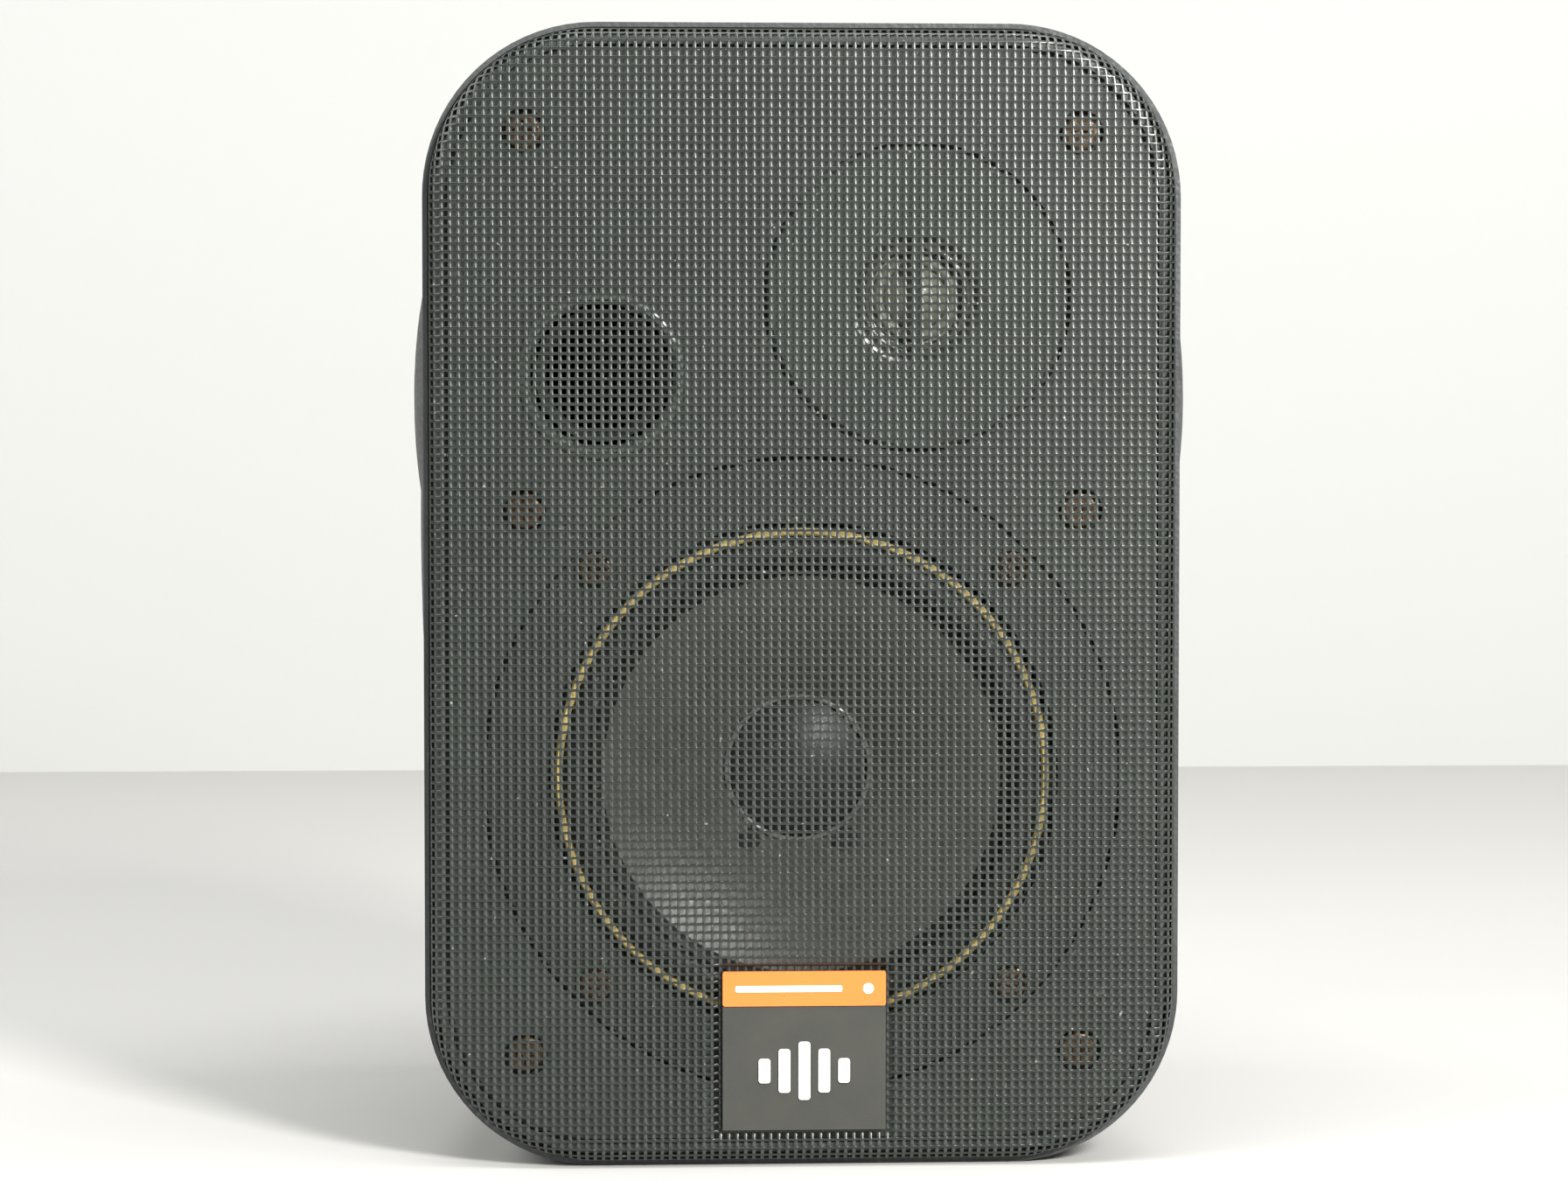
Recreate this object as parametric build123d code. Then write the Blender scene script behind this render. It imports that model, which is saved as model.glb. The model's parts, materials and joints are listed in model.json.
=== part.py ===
"""Compact two-way bookshelf loudspeaker with a moulded cabinet, built piece by piece.

Frame: +Z up, the front faces -Y, +X is to the right as seen from the front. The origin is the middle of the
overall box at the surface that the speaker stands on. Millimetres.
"""
from build123d import *
import math
import os

# ---------------------------------------------------------------- overall size
HEIGHT = 235.0
RIM_WIDTH = 155.8  # across the front rim
OVERALL_WIDTH = 160.4  # across the swellings on the sides
DEPTH = 143.0
CORNER_RADIUS = 35.5
MID_HEIGHT = HEIGHT / 2
FRONT = -DEPTH / 2
BACK = DEPTH / 2

# ---------------------------------------------------------------- depth stations, front to back
GRILLE_FACE = FRONT + 0.9
SHEET = 0.8  # grille sheet thickness
GRILLE_INSIDE = GRILLE_FACE + SHEET
RIM_FACE = FRONT + 5.0
BAFFLE_FACE = FRONT + 4.9
BAFFLE_THICKNESS = 4.0
BAFFLE_BACK = BAFFLE_FACE + BAFFLE_THICKNESS
SEAL_THICKNESS = 1.0
LEDGE_FACE = BAFFLE_BACK + SEAL_THICKNESS
LEDGE_THICKNESS = 4.0
LEDGE_BACK = LEDGE_FACE + LEDGE_THICKNESS
WALL = 3.5
REAR_WALL_INSIDE = BACK - WALL

# ---------------------------------------------------------------- how far each outline lies inside the rim's
LIP = 1.0
GRILLE_INSET = LIP + 0.2
BAFFLE_INSET = 2.6
LEDGE_INSET = 7.0
GRILLE_EDGE_RADIUS = 3.0
GRILLE_RETURN = LEDGE_FACE - 0.8  # where the grille's folded edge ends, in the groove

# ------------------------------------------------ cabinet taper: (y, inset from the rim outline)
TAPER = [
    (RIM_FACE, 0.0),
    (-52.0, 0.3),
    (-20.0, 2.6),
    (15.0, 7.6),
    (45.0, 14.5),
    (61.0, 20.0),
    (69.0, 25.5),
    (BACK, 31.0),
]
CORNER_SHRINK = 0.35  # how much of an inset is taken off the corner radius
FOOT_WIDTH = 86.0
FOOT_FRONT = -58.0
FOOT_BACK = 42.0
FOOT_FLARE = 32.0  # degrees
FOOT_RISE = 26.0
FOOT_CORNER = 12.0
SWELL_DEPTH = -50.0  # y of the fullest part of each side swelling
SWELL_CREST = (158.0, OVERALL_WIDTH / 2, (9.0, 26.0, 36.0))  # height of its middle, reach in x, semi-axes
SWELL_TAIL = (132.0, 78.9, (9.0, 26.0, 74.0))
WEB_THICKNESS = 3.0  # of the webs that tie the screw posts to the walls
WEB_REACH = 30.0

# ---------------------------------------------------------------- screws that hold the baffle
BAFFLE_SCREW_X = 57.3
BAFFLE_SCREW_HEIGHTS = (212.8, 135.2, 23.1)
POST_RADIUS = 4.8
POST_LENGTH = 24.0
SCREW_RADIUS = 1.7
SCREW_HOLE_RADIUS = 1.75
CLEARANCE_RADIUS = 2.1  # holes in the baffle that the screws pass through
COUNTERBORE_RADIUS = 4.6
COUNTERBORE_DEPTH = 2.6

# ---------------------------------------------------------------- badge
BADGE_WIDTH = 33.6
BADGE_HEIGHT = 32.8
BADGE_BOTTOM = 7.8
STRIP_HEIGHT = 7.1
POCKET_DEPTH = 1.0
POCKET_MARGIN = 0.7
BADGE_SEAT = GRILLE_FACE + POCKET_DEPTH
BADGE_FACE = FRONT + 0.4
STRIP_FACE = FRONT + 0.1
STRIP_SEAT = FRONT + 1.1
BADGE_PIN_RADIUS = 0.8
BADGE_PIN_X = 10.0
MARK_BAR_HEIGHTS = (5.0, 9.0, 12.0, 9.0, 5.0)
MARK_BAR_WIDTH = 2.4
MARK_BAR_PITCH = 4.1
MARK_MIDDLE = 12.3  # above the badge's lower edge

# ---------------------------------------------------------------- woofer, centred on WOOFER, y front to back
WOOFER = (0.0, 80.5)
FRAME_RADIUS = 65.2
RECESS_GAP = 0.9  # left round the woofer and the tweeter in the baffle
FRAME_FACE = BAFFLE_FACE - 0.4
FRAME_BACK = FRAME_FACE + 2.0
WOOFER_SEAT = FRAME_BACK + 1.0
FRAME_SCREW_CIRCLE = 60.6
FRAME_SCREW_ANGLES = (45, 135, 225, 315)
FRAME_SCREW_HOLE = 2.3
FRAME_STEP_RADIUS = 52.8
LANDING_FACE = FRAME_FACE + 2.4
STEEL = 1.6
WOOFER_HOLE_RADIUS = 55.0
SEAT_RING_RADIUS = 68.5
SEAT_RING_DEPTH = 6.0
ROLL_MIDDLE = 46.5
ROLL_RADIUS = 3.0
RUBBER = 0.5
SURROUND_RADIUS = 52.2
BEAD_RADIUS = 50.3
BEAD_WIDTH = 1.6
BEAD_HEIGHT = 0.6
CONE_RIM_FACE = LANDING_FACE + 1.5
CONE_RADIUS = 43.3
CONE_BEND_RADIUS = 41.0
CONE_BEND_POINT = (27.0, 7.1)  # a point of the flare: radius and depth behind the rim face
NECK_RADIUS = 13.0
NECK_DEPTH = 18.6
PAPER = 0.6
CAP_RADIUS = 15.0
CAP_RISE = 4.2
CAP_PAPER = 0.5
DAB_RADIUS = 2.2
DAB_CIRCLE = 18.0
DAB_ANGLE = 35.0  # degrees either side of straight down
FORMER_RADIUS = 12.6
FORMER_WALL = 0.25
FORMER_FRONT = -46.0
FORMER_BACK = -15.0
COIL_RADIUS = 13.55
COIL_FRONT = -29.5
COIL_BACK = -17.5
MOTOR_FACE = -26.0  # where the basket's floor meets the top plate
PLATE_THICKNESS = 5.0
PLATE_RADIUS = 35.0
GAP_RADIUS = 14.1
POLE_RADIUS = 12.3
MAGNET_RADIUS = 37.0
MAGNET_BORE = 17.0
MAGNET_LENGTH = 13.0
BUCKING_LENGTH = 9.0
CAN_RADIUS = 39.5
CAN_WALL = 1.0
SPIDER_FACE = -39.5
SPIDER_LANDING = -39.0
TAG_TOP = WOOFER[1] - 49.0  # height of the tag strip's lower face

# ---------------------------------------------------------------- tweeter, centred on TWEETER
TWEETER = (23.5, 179.0)
FACEPLATE_RADIUS = 31.0
FACEPLATE_FACE = BAFFLE_FACE - 0.4
FACEPLATE_SEAT = FACEPLATE_FACE + 2.4
TWEETER_BODY_RADIUS = 23.0
TWEETER_BODY_BACK = FACEPLATE_FACE + 8.5
MOUTH_RADIUS = 14.0
THROAT_STEP_RADIUS = 11.4
THROAT_RADIUS = 9.6
DIAPHRAGM_SEAT = FACEPLATE_FACE + 5.5
BRIDGE_WIDTH = 1.7
DOME_RADIUS = 6.5
DOME_RISE = 3.0
DOME_SKIN = 0.25
TWEETER_PLATE_RADIUS = 22.0
TWEETER_GAP_RADIUS = 7.0
TWEETER_POLE_RADIUS = 5.7
TWEETER_COIL_INNER = 6.1
TWEETER_SEAL_RADIUS = 14.3  # edge of the surround's flange
TWEETER_RECESS_RADIUS = 14.5
TWEETER_PLATE = 3.0
TWEETER_MAGNET_LENGTH = 8.0

# ---------------------------------------------------------------- port, centred on PORT
PORT = (-41.3, 163.0)
PORT_BORE = 11.5
PORT_OUTER = 13.5
PORT_FLANGE = 17.6
PORT_BACK = 8.0

# ---------------------------------------------------------------- rear terminal and mounting insert
CUP = (0.0, 62.0)
CUP_WIDTH = 64.0
CUP_HEIGHT = 44.0
CUP_CORNER = 5.5
CUP_WALL = 2.0
CUP_FLOOR = 50.0
FLANGE_WIDTH = 74.0
FLANGE_HEIGHT = 54.0
FLANGE_THICKNESS = 2.4
FLANGE_POCKET = 3.1
FLANGE_CORNER = 6.0
CUP_CLEARANCE = 0.5
CUP_SCREW_SINK = 1.3
CUP_SEAL = 0.5
CUP_SCREW_OFFSET = (33.0, 23.0)
BLOCK_FACE = 66.0
BLOCK_BOTTOM = 47.0
BLOCK_TOP = 77.0
BLOCK_HALF_WIDTH = 22.0
LEVER_X = 11.0
LEVER_WIDTH = 11.0
SLOT_WIDTH = 11.6
SLOT_FLOOR = 53.0
SLOT_BOTTOM = 55.0
SLOT_TOP = 75.5
LEVER_PIVOT = (60.5, 58.0)  # y, z
PIVOT_RADIUS = 1.4
PIVOT_BORE = 1.45
PIVOT_REACH = 2.0
WIRE_HOLE_RADIUS = 1.7
WIRE_HOLE_HEIGHT = 50.5
WIRE_HOLE_DEPTH = 10.0
CONTACT_WIDTH = 5.0
CONTACT_THICKNESS = 0.8
INSERT = (0.0, 128.0)
INSERT_RADIUS = 5.5
INSERT_BORE = 2.5
INSERT_LENGTH = 12.0
INSERT_BOSS_RADIUS = 9.0

# ---------------------------------------------------------------- crossover
BOARD_FACE = 55.0
BOARD_THICKNESS = 1.6
BOARD_WIDTH = 72.0
BOARD_BOTTOM = 140.0
BOARD_TOP = 192.0
BOARD_SCREW_X = 31.0
BOARD_SCREW_HEIGHTS = (145.0, 187.0)
BOARD_PILOT_RADIUS = 1.25
CUP_PILOT_RADIUS = 1.35
SMALL_SCREW_HOLE = 1.6  # clearance holes in the board and in the terminal's flange
STANDOFF_RADIUS = 3.2
COMPONENT_GAP = 0.1

WIRE_RADIUS = 1.0
LEAD_RADIUS = 0.6


# ================================================================ helpers
def depth_plane(y, height=MID_HEIGHT):
    """A sketch plane facing the front, with sketch X to the right and sketch Y up."""
    return Plane(origin=(0, y, height), x_dir=(1, 0, 0), z_dir=(0, -1, 0))


def plate(sketch, front, back, x=0.0, height=MID_HEIGHT):
    """The sketch, centred at x and height, as a plate from depth front to depth back."""
    return Pos(x, 0, 0) * extrude(depth_plane(back, height) * sketch, back - front)


def outline(inset):
    """The rim's rounded rectangle, moved in by inset."""
    return RectangleRounded(RIM_WIDTH - 2 * inset, HEIGHT - 2 * inset, CORNER_RADIUS - inset)


def disc(centre, radius, front, back):
    """A round bar along the depth, centred on (x, z)."""
    return plate(Circle(radius), front, back, centre[0], centre[1])


def ring(centre, outer, inner, front, back):
    return disc(centre, outer, front, back) - disc(centre, inner, front, back)


def turned(edges, centre):
    """A solid of revolution about the depth axis through centre; the profile is drawn as (radius, y)."""
    return Pos(centre[0], 0, centre[1]) * revolve(make_face(edges), Axis.Y)


def block(low, high):
    """A box between two opposite corners."""
    size = [high[i] - low[i] for i in range(3)]
    middle = [(high[i] + low[i]) / 2 for i in range(3)]
    return Pos(*middle) * Box(*size)


def side_profile(points, x_low, x_high):
    """A polygon drawn as (y, z), extruded from x_low to x_high."""
    face = Plane.YZ * make_face(Polyline(points, close=True))
    return Pos(x_low, 0, 0) * extrude(face, x_high - x_low)


def around(centre, radius, angles):
    """Points (x, z) on a circle; an angle of 0 is straight up and 90 is to the right."""
    return [
        (centre[0] + radius * math.sin(math.radians(a)), centre[1] + radius * math.cos(math.radians(a)))
        for a in angles
    ]


def group(solids):
    """Separate solids of one node."""
    return Compound(children=[solid for shape in solids for solid in shape.solids()])


def pan_screw(centre, seat, head_radius, head_height, length, radius, towards_back=True):
    """A cross-head screw. The head stands on the plane y = seat and the shank runs away from it."""
    way = 1 if towards_back else -1
    head_end = seat - way * head_height
    head = disc(centre, head_radius, min(seat, head_end), max(seat, head_end))
    rim = head.edges().filter_by(GeomType.CIRCLE).sort_by(Axis.Y)
    outer_rim = rim[0] if towards_back else rim[-1]
    head = fillet(outer_rim, head_height * 0.45)
    shank_end = seat + way * length
    shank = disc(centre, radius, min(seat, shank_end), max(seat, shank_end))
    recess_depth = head_height * 0.55
    recess_end = head_end + way * recess_depth
    slot_length = head_radius * 1.15
    slot_width = head_radius * 0.24
    low = min(head_end, recess_end) - (0.5 if towards_back else 0.0)
    high = max(head_end, recess_end) + (0.0 if towards_back else 0.5)
    bar = Rectangle(slot_length, slot_width)
    cross = plate(bar, low, high, *centre) + plate(Rot(0, 0, 90) * bar, low, high, *centre)
    return head + shank - cross


def strip_spring(points, thickness, x_low, x_high):
    """A bent flat spring: a line drawn as (y, z), given a thickness and a width along x."""
    face = Plane.YZ * trace(Polyline(points), line_width=thickness)
    return Pos(x_low, 0, 0) * extrude(face, x_high - x_low)


def wire(points, radius):
    """A round wire whose straight runs are joined by arcs as large as the runs allow."""
    vectors = [Vector(*p) for p in points]
    radii = []
    for before, corner, after in zip(vectors, vectors[1:], vectors[2:]):
        first = corner - before
        second = after - corner
        turn = math.radians(first.get_angle(second))
        radii.append(0.45 * min(first.length, second.length) / math.tan(turn / 2))
    path = FilletPolyline(*points, radius=radii)
    start = Plane(origin=path @ 0, z_dir=path % 0)
    return sweep(start * Circle(radius), path=path)


def mirrored_wires(points, radius):
    """The wire through points and its mirror image across x = 0."""
    return group([wire([(s * x, y, z) for x, y, z in points], radius) for s in (-1, 1)])


# ================================================================ cabinet
def cabinet_loft(extra, front, back):
    """The tapered body, every side moved in by extra, from depth front to depth back."""
    stations = [(y, inset) for y, inset in TAPER if front < y < back]
    stations = [(front, taper_inset(front)), *stations, (back, taper_inset(back))]
    sections = []
    for y, inset in stations:
        total = inset + extra
        radius = CORNER_RADIUS - CORNER_SHRINK * inset - extra
        sketch = RectangleRounded(RIM_WIDTH - 2 * total, HEIGHT - 2 * total, radius)
        sections.append(depth_plane(y) * sketch)
    return loft(sections)


def taper_inset(y):
    """The inset at depth y, by straight interpolation in the taper's stations."""
    for (y0, inset0), (y1, inset1) in zip(TAPER, TAPER[1:]):
        if y0 <= y <= y1:
            return inset0 + (inset1 - inset0) * (y - y0) / (y1 - y0)
    return TAPER[-1][1]


def baffle_screw_places():
    return [(side * BAFFLE_SCREW_X, z) for side in (-1, 1) for z in BAFFLE_SCREW_HEIGHTS]


def board_screw_places():
    return [(side * BOARD_SCREW_X, z) for side in (-1, 1) for z in BOARD_SCREW_HEIGHTS]


def cup_screw_places():
    dx, dz = CUP_SCREW_OFFSET
    return [(CUP[0] + i * dx, CUP[1] + k * dz) for i in (-1, 1) for k in (-1, 1)]


def foot():
    """The flat sole under the tapered body, flared upwards into it."""
    length = FOOT_BACK - FOOT_FRONT
    sole = Pos(0, FOOT_FRONT + length / 2, 0) * RectangleRounded(FOOT_WIDTH, length, FOOT_CORNER)
    return extrude(sole, FOOT_RISE, taper=-FOOT_FLARE)


def side_swelling(side, lobe):
    """One lobe of the swelling on a side: an ellipsoid that stands out of the wall."""
    height, reach, semi_axes = lobe
    swelling = scale(Sphere(1), by=semi_axes)
    return Pos(side * (reach - semi_axes[0]), SWELL_DEPTH, height) * swelling


def rear_cabinet():
    behind_rim = block((-OVERALL_WIDTH, RIM_FACE, 0), (OVERALL_WIDTH, BACK, HEIGHT))
    outer = cabinet_loft(0.0, RIM_FACE, BACK) & plate(outline(0), RIM_FACE, BACK)
    outer += foot() & plate(outline(0), RIM_FACE, BACK)
    for side in (-1, 1):
        for lobe in (SWELL_CREST, SWELL_TAIL):
            outer += side_swelling(side, lobe) & behind_rim
    inner = cabinet_loft(WALL, LEDGE_BACK, REAR_WALL_INSIDE)
    body = outer - inner
    body -= plate(outline(LIP), RIM_FACE - 1, LEDGE_FACE)
    body -= plate(outline(LEDGE_INSET), LEDGE_FACE - 1, LEDGE_BACK + 1)
    fittings = []
    for x, z in baffle_screw_places():
        side = math.copysign(1, x)
        fittings.append(disc((x, z), POST_RADIUS, BAFFLE_BACK, BAFFLE_BACK + POST_LENGTH))
        web = block(
            (min(x, x + side * WEB_REACH), LEDGE_BACK, z - WEB_THICKNESS / 2),
            (max(x, x + side * WEB_REACH), BAFFLE_BACK + POST_LENGTH, z + WEB_THICKNESS / 2),
        )
        fittings.append(web)
    for place in board_screw_places():
        fittings.append(disc(place, STANDOFF_RADIUS, BOARD_FACE + BOARD_THICKNESS, REAR_WALL_INSIDE + 1))
    frame = RectangleRounded(FLANGE_WIDTH + 8, FLANGE_HEIGHT + 8, 10)
    fittings.append(plate(frame, REAR_WALL_INSIDE - 4, REAR_WALL_INSIDE + 1, *CUP))
    boss_front = BACK - INSERT_LENGTH - 2.6
    fittings.append(disc(INSERT, INSERT_BOSS_RADIUS, boss_front, REAR_WALL_INSIDE + 1))
    for fitting in fittings:
        body += fitting & outer
    pocket = RectangleRounded(FLANGE_WIDTH + 0.6, FLANGE_HEIGHT + 0.6, FLANGE_CORNER + 0.3)
    body -= plate(pocket, BACK - FLANGE_POCKET, BACK + 1, *CUP)
    body -= plate(cup_outline(CUP_CLEARANCE), REAR_WALL_INSIDE - 6, BACK + 1, *CUP)
    for place in cup_screw_places():
        body -= disc(place, CUP_PILOT_RADIUS, REAR_WALL_INSIDE - 6, BACK)
    body -= disc(INSERT, INSERT_RADIUS + 0.03, BACK - INSERT_LENGTH - 0.1, BACK + 1)
    for place in baffle_screw_places():
        body -= disc(place, SCREW_HOLE_RADIUS, BAFFLE_BACK - 1, BAFFLE_BACK + 20)
    for place in board_screw_places():
        body -= disc(place, BOARD_PILOT_RADIUS, BOARD_FACE, BOARD_FACE + 9)
    return body


def baffle_gasket():
    """A foam ring on the cabinet's ledge."""
    return plate(outline(BAFFLE_INSET) - outline(LEDGE_INSET), BAFFLE_BACK, LEDGE_FACE)


def front_baffle():
    body = plate(outline(BAFFLE_INSET), BAFFLE_FACE, BAFFLE_BACK)
    body += ring(WOOFER, SEAT_RING_RADIUS, WOOFER_HOLE_RADIUS, BAFFLE_BACK, BAFFLE_BACK + SEAT_RING_DEPTH)
    body += ring(PORT, PORT_OUTER + 3.0, PORT_OUTER + 0.2, BAFFLE_BACK, BAFFLE_BACK + 5)
    groove = outline(BAFFLE_INSET + 1.8) - outline(BAFFLE_INSET + 3.0)
    body -= plate(groove, BAFFLE_FACE - 1, BAFFLE_FACE + 2.0)
    body -= disc(WOOFER, FRAME_RADIUS + RECESS_GAP, BAFFLE_FACE - 1, WOOFER_SEAT)
    body -= disc(WOOFER, WOOFER_HOLE_RADIUS, BAFFLE_FACE - 1, BAFFLE_BACK + 10)
    body -= disc(TWEETER, FACEPLATE_RADIUS + RECESS_GAP, BAFFLE_FACE - 1, FACEPLATE_SEAT)
    body -= disc(TWEETER, TWEETER_BODY_RADIUS + 0.3, BAFFLE_FACE - 1, BAFFLE_BACK + 10)
    body -= disc(PORT, PORT_OUTER + 0.1, BAFFLE_FACE - 1, BAFFLE_BACK + 10)
    for place in baffle_screw_places():
        body -= disc(place, COUNTERBORE_RADIUS, BAFFLE_FACE - 1, BAFFLE_FACE + COUNTERBORE_DEPTH)
        body -= disc(place, CLEARANCE_RADIUS, BAFFLE_FACE - 1, BAFFLE_BACK + 1)
    for place in frame_screw_places():
        body -= disc(place, SCREW_HOLE_RADIUS, WOOFER_SEAT - 1, WOOFER_SEAT + 6.5)
    return body


def baffle_screws():
    seat = BAFFLE_FACE + COUNTERBORE_DEPTH
    return group([pan_screw(p, seat, 3.9, 2.2, 18.0, SCREW_RADIUS) for p in baffle_screw_places()])


def port_tube():
    lip = BAFFLE_FACE - 0.9
    throat = BAFFLE_FACE + 9.0
    edges = [
        Line((PORT_FLANGE, BAFFLE_FACE), (PORT_OUTER, BAFFLE_FACE)),
        Line((PORT_OUTER, BAFFLE_FACE), (PORT_OUTER, PORT_BACK)),
        Line((PORT_OUTER, PORT_BACK), (PORT_BORE, PORT_BACK)),
        Line((PORT_BORE, PORT_BACK), (PORT_BORE, throat)),
        ThreePointArc((PORT_BORE, throat), (PORT_BORE + 1.2, throat - 6.3), (PORT_BORE + 4.0, lip)),
        ThreePointArc((PORT_BORE + 4.0, lip), (PORT_FLANGE - 0.5, lip + 0.3), (PORT_FLANGE, BAFFLE_FACE)),
    ]
    return turned(edges, PORT)


def damping_pad():
    """A block of wadding behind the port and the tweeter."""
    pad = block((-44, 19, 136), (19, 35, 199))
    return fillet(pad.edges(), 5)


# ================================================================ grille and badge
def badge_sketch(margin=0.0):
    return Rectangle(BADGE_WIDTH + 2 * margin, BADGE_HEIGHT + 2 * margin)


BADGE_MIDDLE = BADGE_BOTTOM + BADGE_HEIGHT / 2
BADGE_PINS = [(side * BADGE_PIN_X, BADGE_MIDDLE) for side in (-1, 1)]


def grille():
    """The formed sheet, folded back round its edge, with a pocket that holds the badge."""
    outside = plate(outline(GRILLE_INSET), GRILLE_FACE, GRILLE_RETURN)
    outside = fillet(outside.faces().sort_by(Axis.Y)[0].edges(), GRILLE_EDGE_RADIUS)
    inside = plate(outline(GRILLE_INSET + SHEET), GRILLE_INSIDE, GRILLE_RETURN + 1)
    inside = fillet(inside.faces().sort_by(Axis.Y)[0].edges(), GRILLE_EDGE_RADIUS - SHEET)
    body = outside - inside
    swell = badge_sketch(POCKET_MARGIN + SHEET)
    body += plate(swell, GRILLE_INSIDE - 0.2, GRILLE_INSIDE + POCKET_DEPTH, 0, BADGE_MIDDLE) & outside
    body -= plate(badge_sketch(POCKET_MARGIN), GRILLE_FACE - 1, BADGE_SEAT, 0, BADGE_MIDDLE)
    for place in BADGE_PINS:
        body -= disc(place, BADGE_PIN_RADIUS + 0.1, GRILLE_FACE, GRILLE_FACE + 4)
    return body


def badge_plate():
    body = plate(badge_sketch(), BADGE_FACE, BADGE_SEAT, 0, BADGE_MIDDLE)
    strip_bottom = BADGE_BOTTOM + BADGE_HEIGHT - STRIP_HEIGHT
    body -= block((-50, FRONT - 1, strip_bottom), (50, STRIP_SEAT, HEIGHT))
    for place in BADGE_PINS:
        body += disc(place, BADGE_PIN_RADIUS, BADGE_SEAT - 0.1, BADGE_SEAT + 1.6)
    return body


def badge_strip():
    middle = BADGE_BOTTOM + BADGE_HEIGHT - STRIP_HEIGHT / 2
    body = plate(Rectangle(BADGE_WIDTH, STRIP_HEIGHT), STRIP_FACE, STRIP_SEAT, 0, middle)
    upright = body.edges().filter_by(Axis.Y)
    return fillet(upright, 0.5)


def badge_mark():
    """Five upright bars, a plain sign for sound level."""
    count = len(MARK_BAR_HEIGHTS)
    bars = []
    for i, height in enumerate(MARK_BAR_HEIGHTS):
        x = (i - (count - 1) / 2) * MARK_BAR_PITCH
        bar = RectangleRounded(MARK_BAR_WIDTH, height, 0.6)
        bars.append(plate(bar, FRONT, BADGE_FACE, x, BADGE_BOTTOM + MARK_MIDDLE))
    return group(bars)


def badge_rule():
    """A thin rule and a dot on the strip."""
    middle = BADGE_BOTTOM + BADGE_HEIGHT - STRIP_HEIGHT / 2
    rule = plate(RectangleRounded(22, 1.3, 0.4), FRONT, STRIP_FACE, -3.2, middle)
    dot = plate(Circle(1.1), FRONT, STRIP_FACE, 13.2, middle)
    return group([rule, dot])


# ================================================================ woofer
def frame_screw_places():
    return around(WOOFER, FRAME_SCREW_CIRCLE, FRAME_SCREW_ANGLES)


def woofer_basket():
    floor = MOTOR_FACE - STEEL
    profile = [
        (FRAME_STEP_RADIUS, FRAME_FACE),
        (FRAME_RADIUS, FRAME_FACE),
        (FRAME_RADIUS, FRAME_BACK),
        (FRAME_STEP_RADIUS + STEEL, FRAME_BACK),
        (FRAME_STEP_RADIUS + STEEL, LANDING_FACE + STEEL),
        (50.2, LANDING_FACE + STEEL),
        (38.6, SPIDER_LANDING + STEEL),
        (35.6, SPIDER_LANDING + STEEL),
        (35.6, MOTOR_FACE),
        (14.5, MOTOR_FACE),
        (14.5, floor),
        (34.0, floor),
        (34.0, SPIDER_LANDING),
        (37.4, SPIDER_LANDING),
        (48.4, LANDING_FACE),
        (FRAME_STEP_RADIUS, LANDING_FACE),
    ]
    body = turned(Polyline(profile, close=True), WOOFER)
    window = Box(40, 15, 30)
    for angle in FRAME_SCREW_ANGLES:
        place = Pos(WOOFER[0], -50.5, WOOFER[1]) * Rot(0, angle, 0)
        body -= place * Pos(0, 0, 47) * window
    for place in frame_screw_places():
        body -= disc(place, FRAME_SCREW_HOLE, FRAME_FACE - 1, FRAME_BACK + 1)
    return body


def woofer_gasket():
    body = ring(WOOFER, FRAME_RADIUS - 0.5, WOOFER_HOLE_RADIUS + 0.2, FRAME_BACK, WOOFER_SEAT)
    for place in frame_screw_places():
        body -= disc(place, FRAME_SCREW_HOLE, FRAME_BACK - 1, WOOFER_SEAT + 1)
    return body


def surround_bead():
    """The bead of adhesive that shows as a thin ring."""
    base = LANDING_FACE - RUBBER
    half = BEAD_WIDTH / 2
    crown = 0.5 * half
    profile = [
        (BEAD_RADIUS - half, base),
        (BEAD_RADIUS + half, base),
        (BEAD_RADIUS + crown, base - BEAD_HEIGHT),
        (BEAD_RADIUS - crown, base - BEAD_HEIGHT),
    ]
    return turned(Polyline(profile, close=True), WOOFER)


def woofer_surround():
    """A half roll with a lip on the basket's landing and a deeper lip on the cone's rim."""
    top = LANDING_FACE - RUBBER
    outer = ROLL_MIDDLE + ROLL_RADIUS
    inner = ROLL_MIDDLE - ROLL_RADIUS
    lip_front = CONE_RIM_FACE - RUBBER
    lip_inner = CONE_BEND_RADIUS + 0.3
    edges = [
        Line((SURROUND_RADIUS, LANDING_FACE), (SURROUND_RADIUS, top)),
        Line((SURROUND_RADIUS, top), (outer, top)),
        ThreePointArc((outer, top), (ROLL_MIDDLE, top - ROLL_RADIUS), (inner, top)),
        Line((inner, top), (inner, lip_front)),
        Line((inner, lip_front), (lip_inner, lip_front)),
        Line((lip_inner, lip_front), (lip_inner, CONE_RIM_FACE)),
        Line((lip_inner, CONE_RIM_FACE), (inner + RUBBER, CONE_RIM_FACE)),
        Line((inner + RUBBER, CONE_RIM_FACE), (inner + RUBBER, top)),
        ThreePointArc(
            (inner + RUBBER, top), (ROLL_MIDDLE, top - ROLL_RADIUS + RUBBER), (outer - RUBBER, top)
        ),
        Line((outer - RUBBER, top), (outer - RUBBER, LANDING_FACE)),
        Line((outer - RUBBER, LANDING_FACE), (SURROUND_RADIUS, LANDING_FACE)),
    ]
    return turned(edges, WOOFER)


def flare_arc(offset):
    """The cone's flare as an arc in (radius, y), moved back by offset."""
    face = CONE_RIM_FACE + offset
    bend_radius, bend_depth = CONE_BEND_POINT
    return ThreePointArc(
        (CONE_BEND_RADIUS, face), (bend_radius, face + bend_depth), (NECK_RADIUS, face + NECK_DEPTH)
    )


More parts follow.
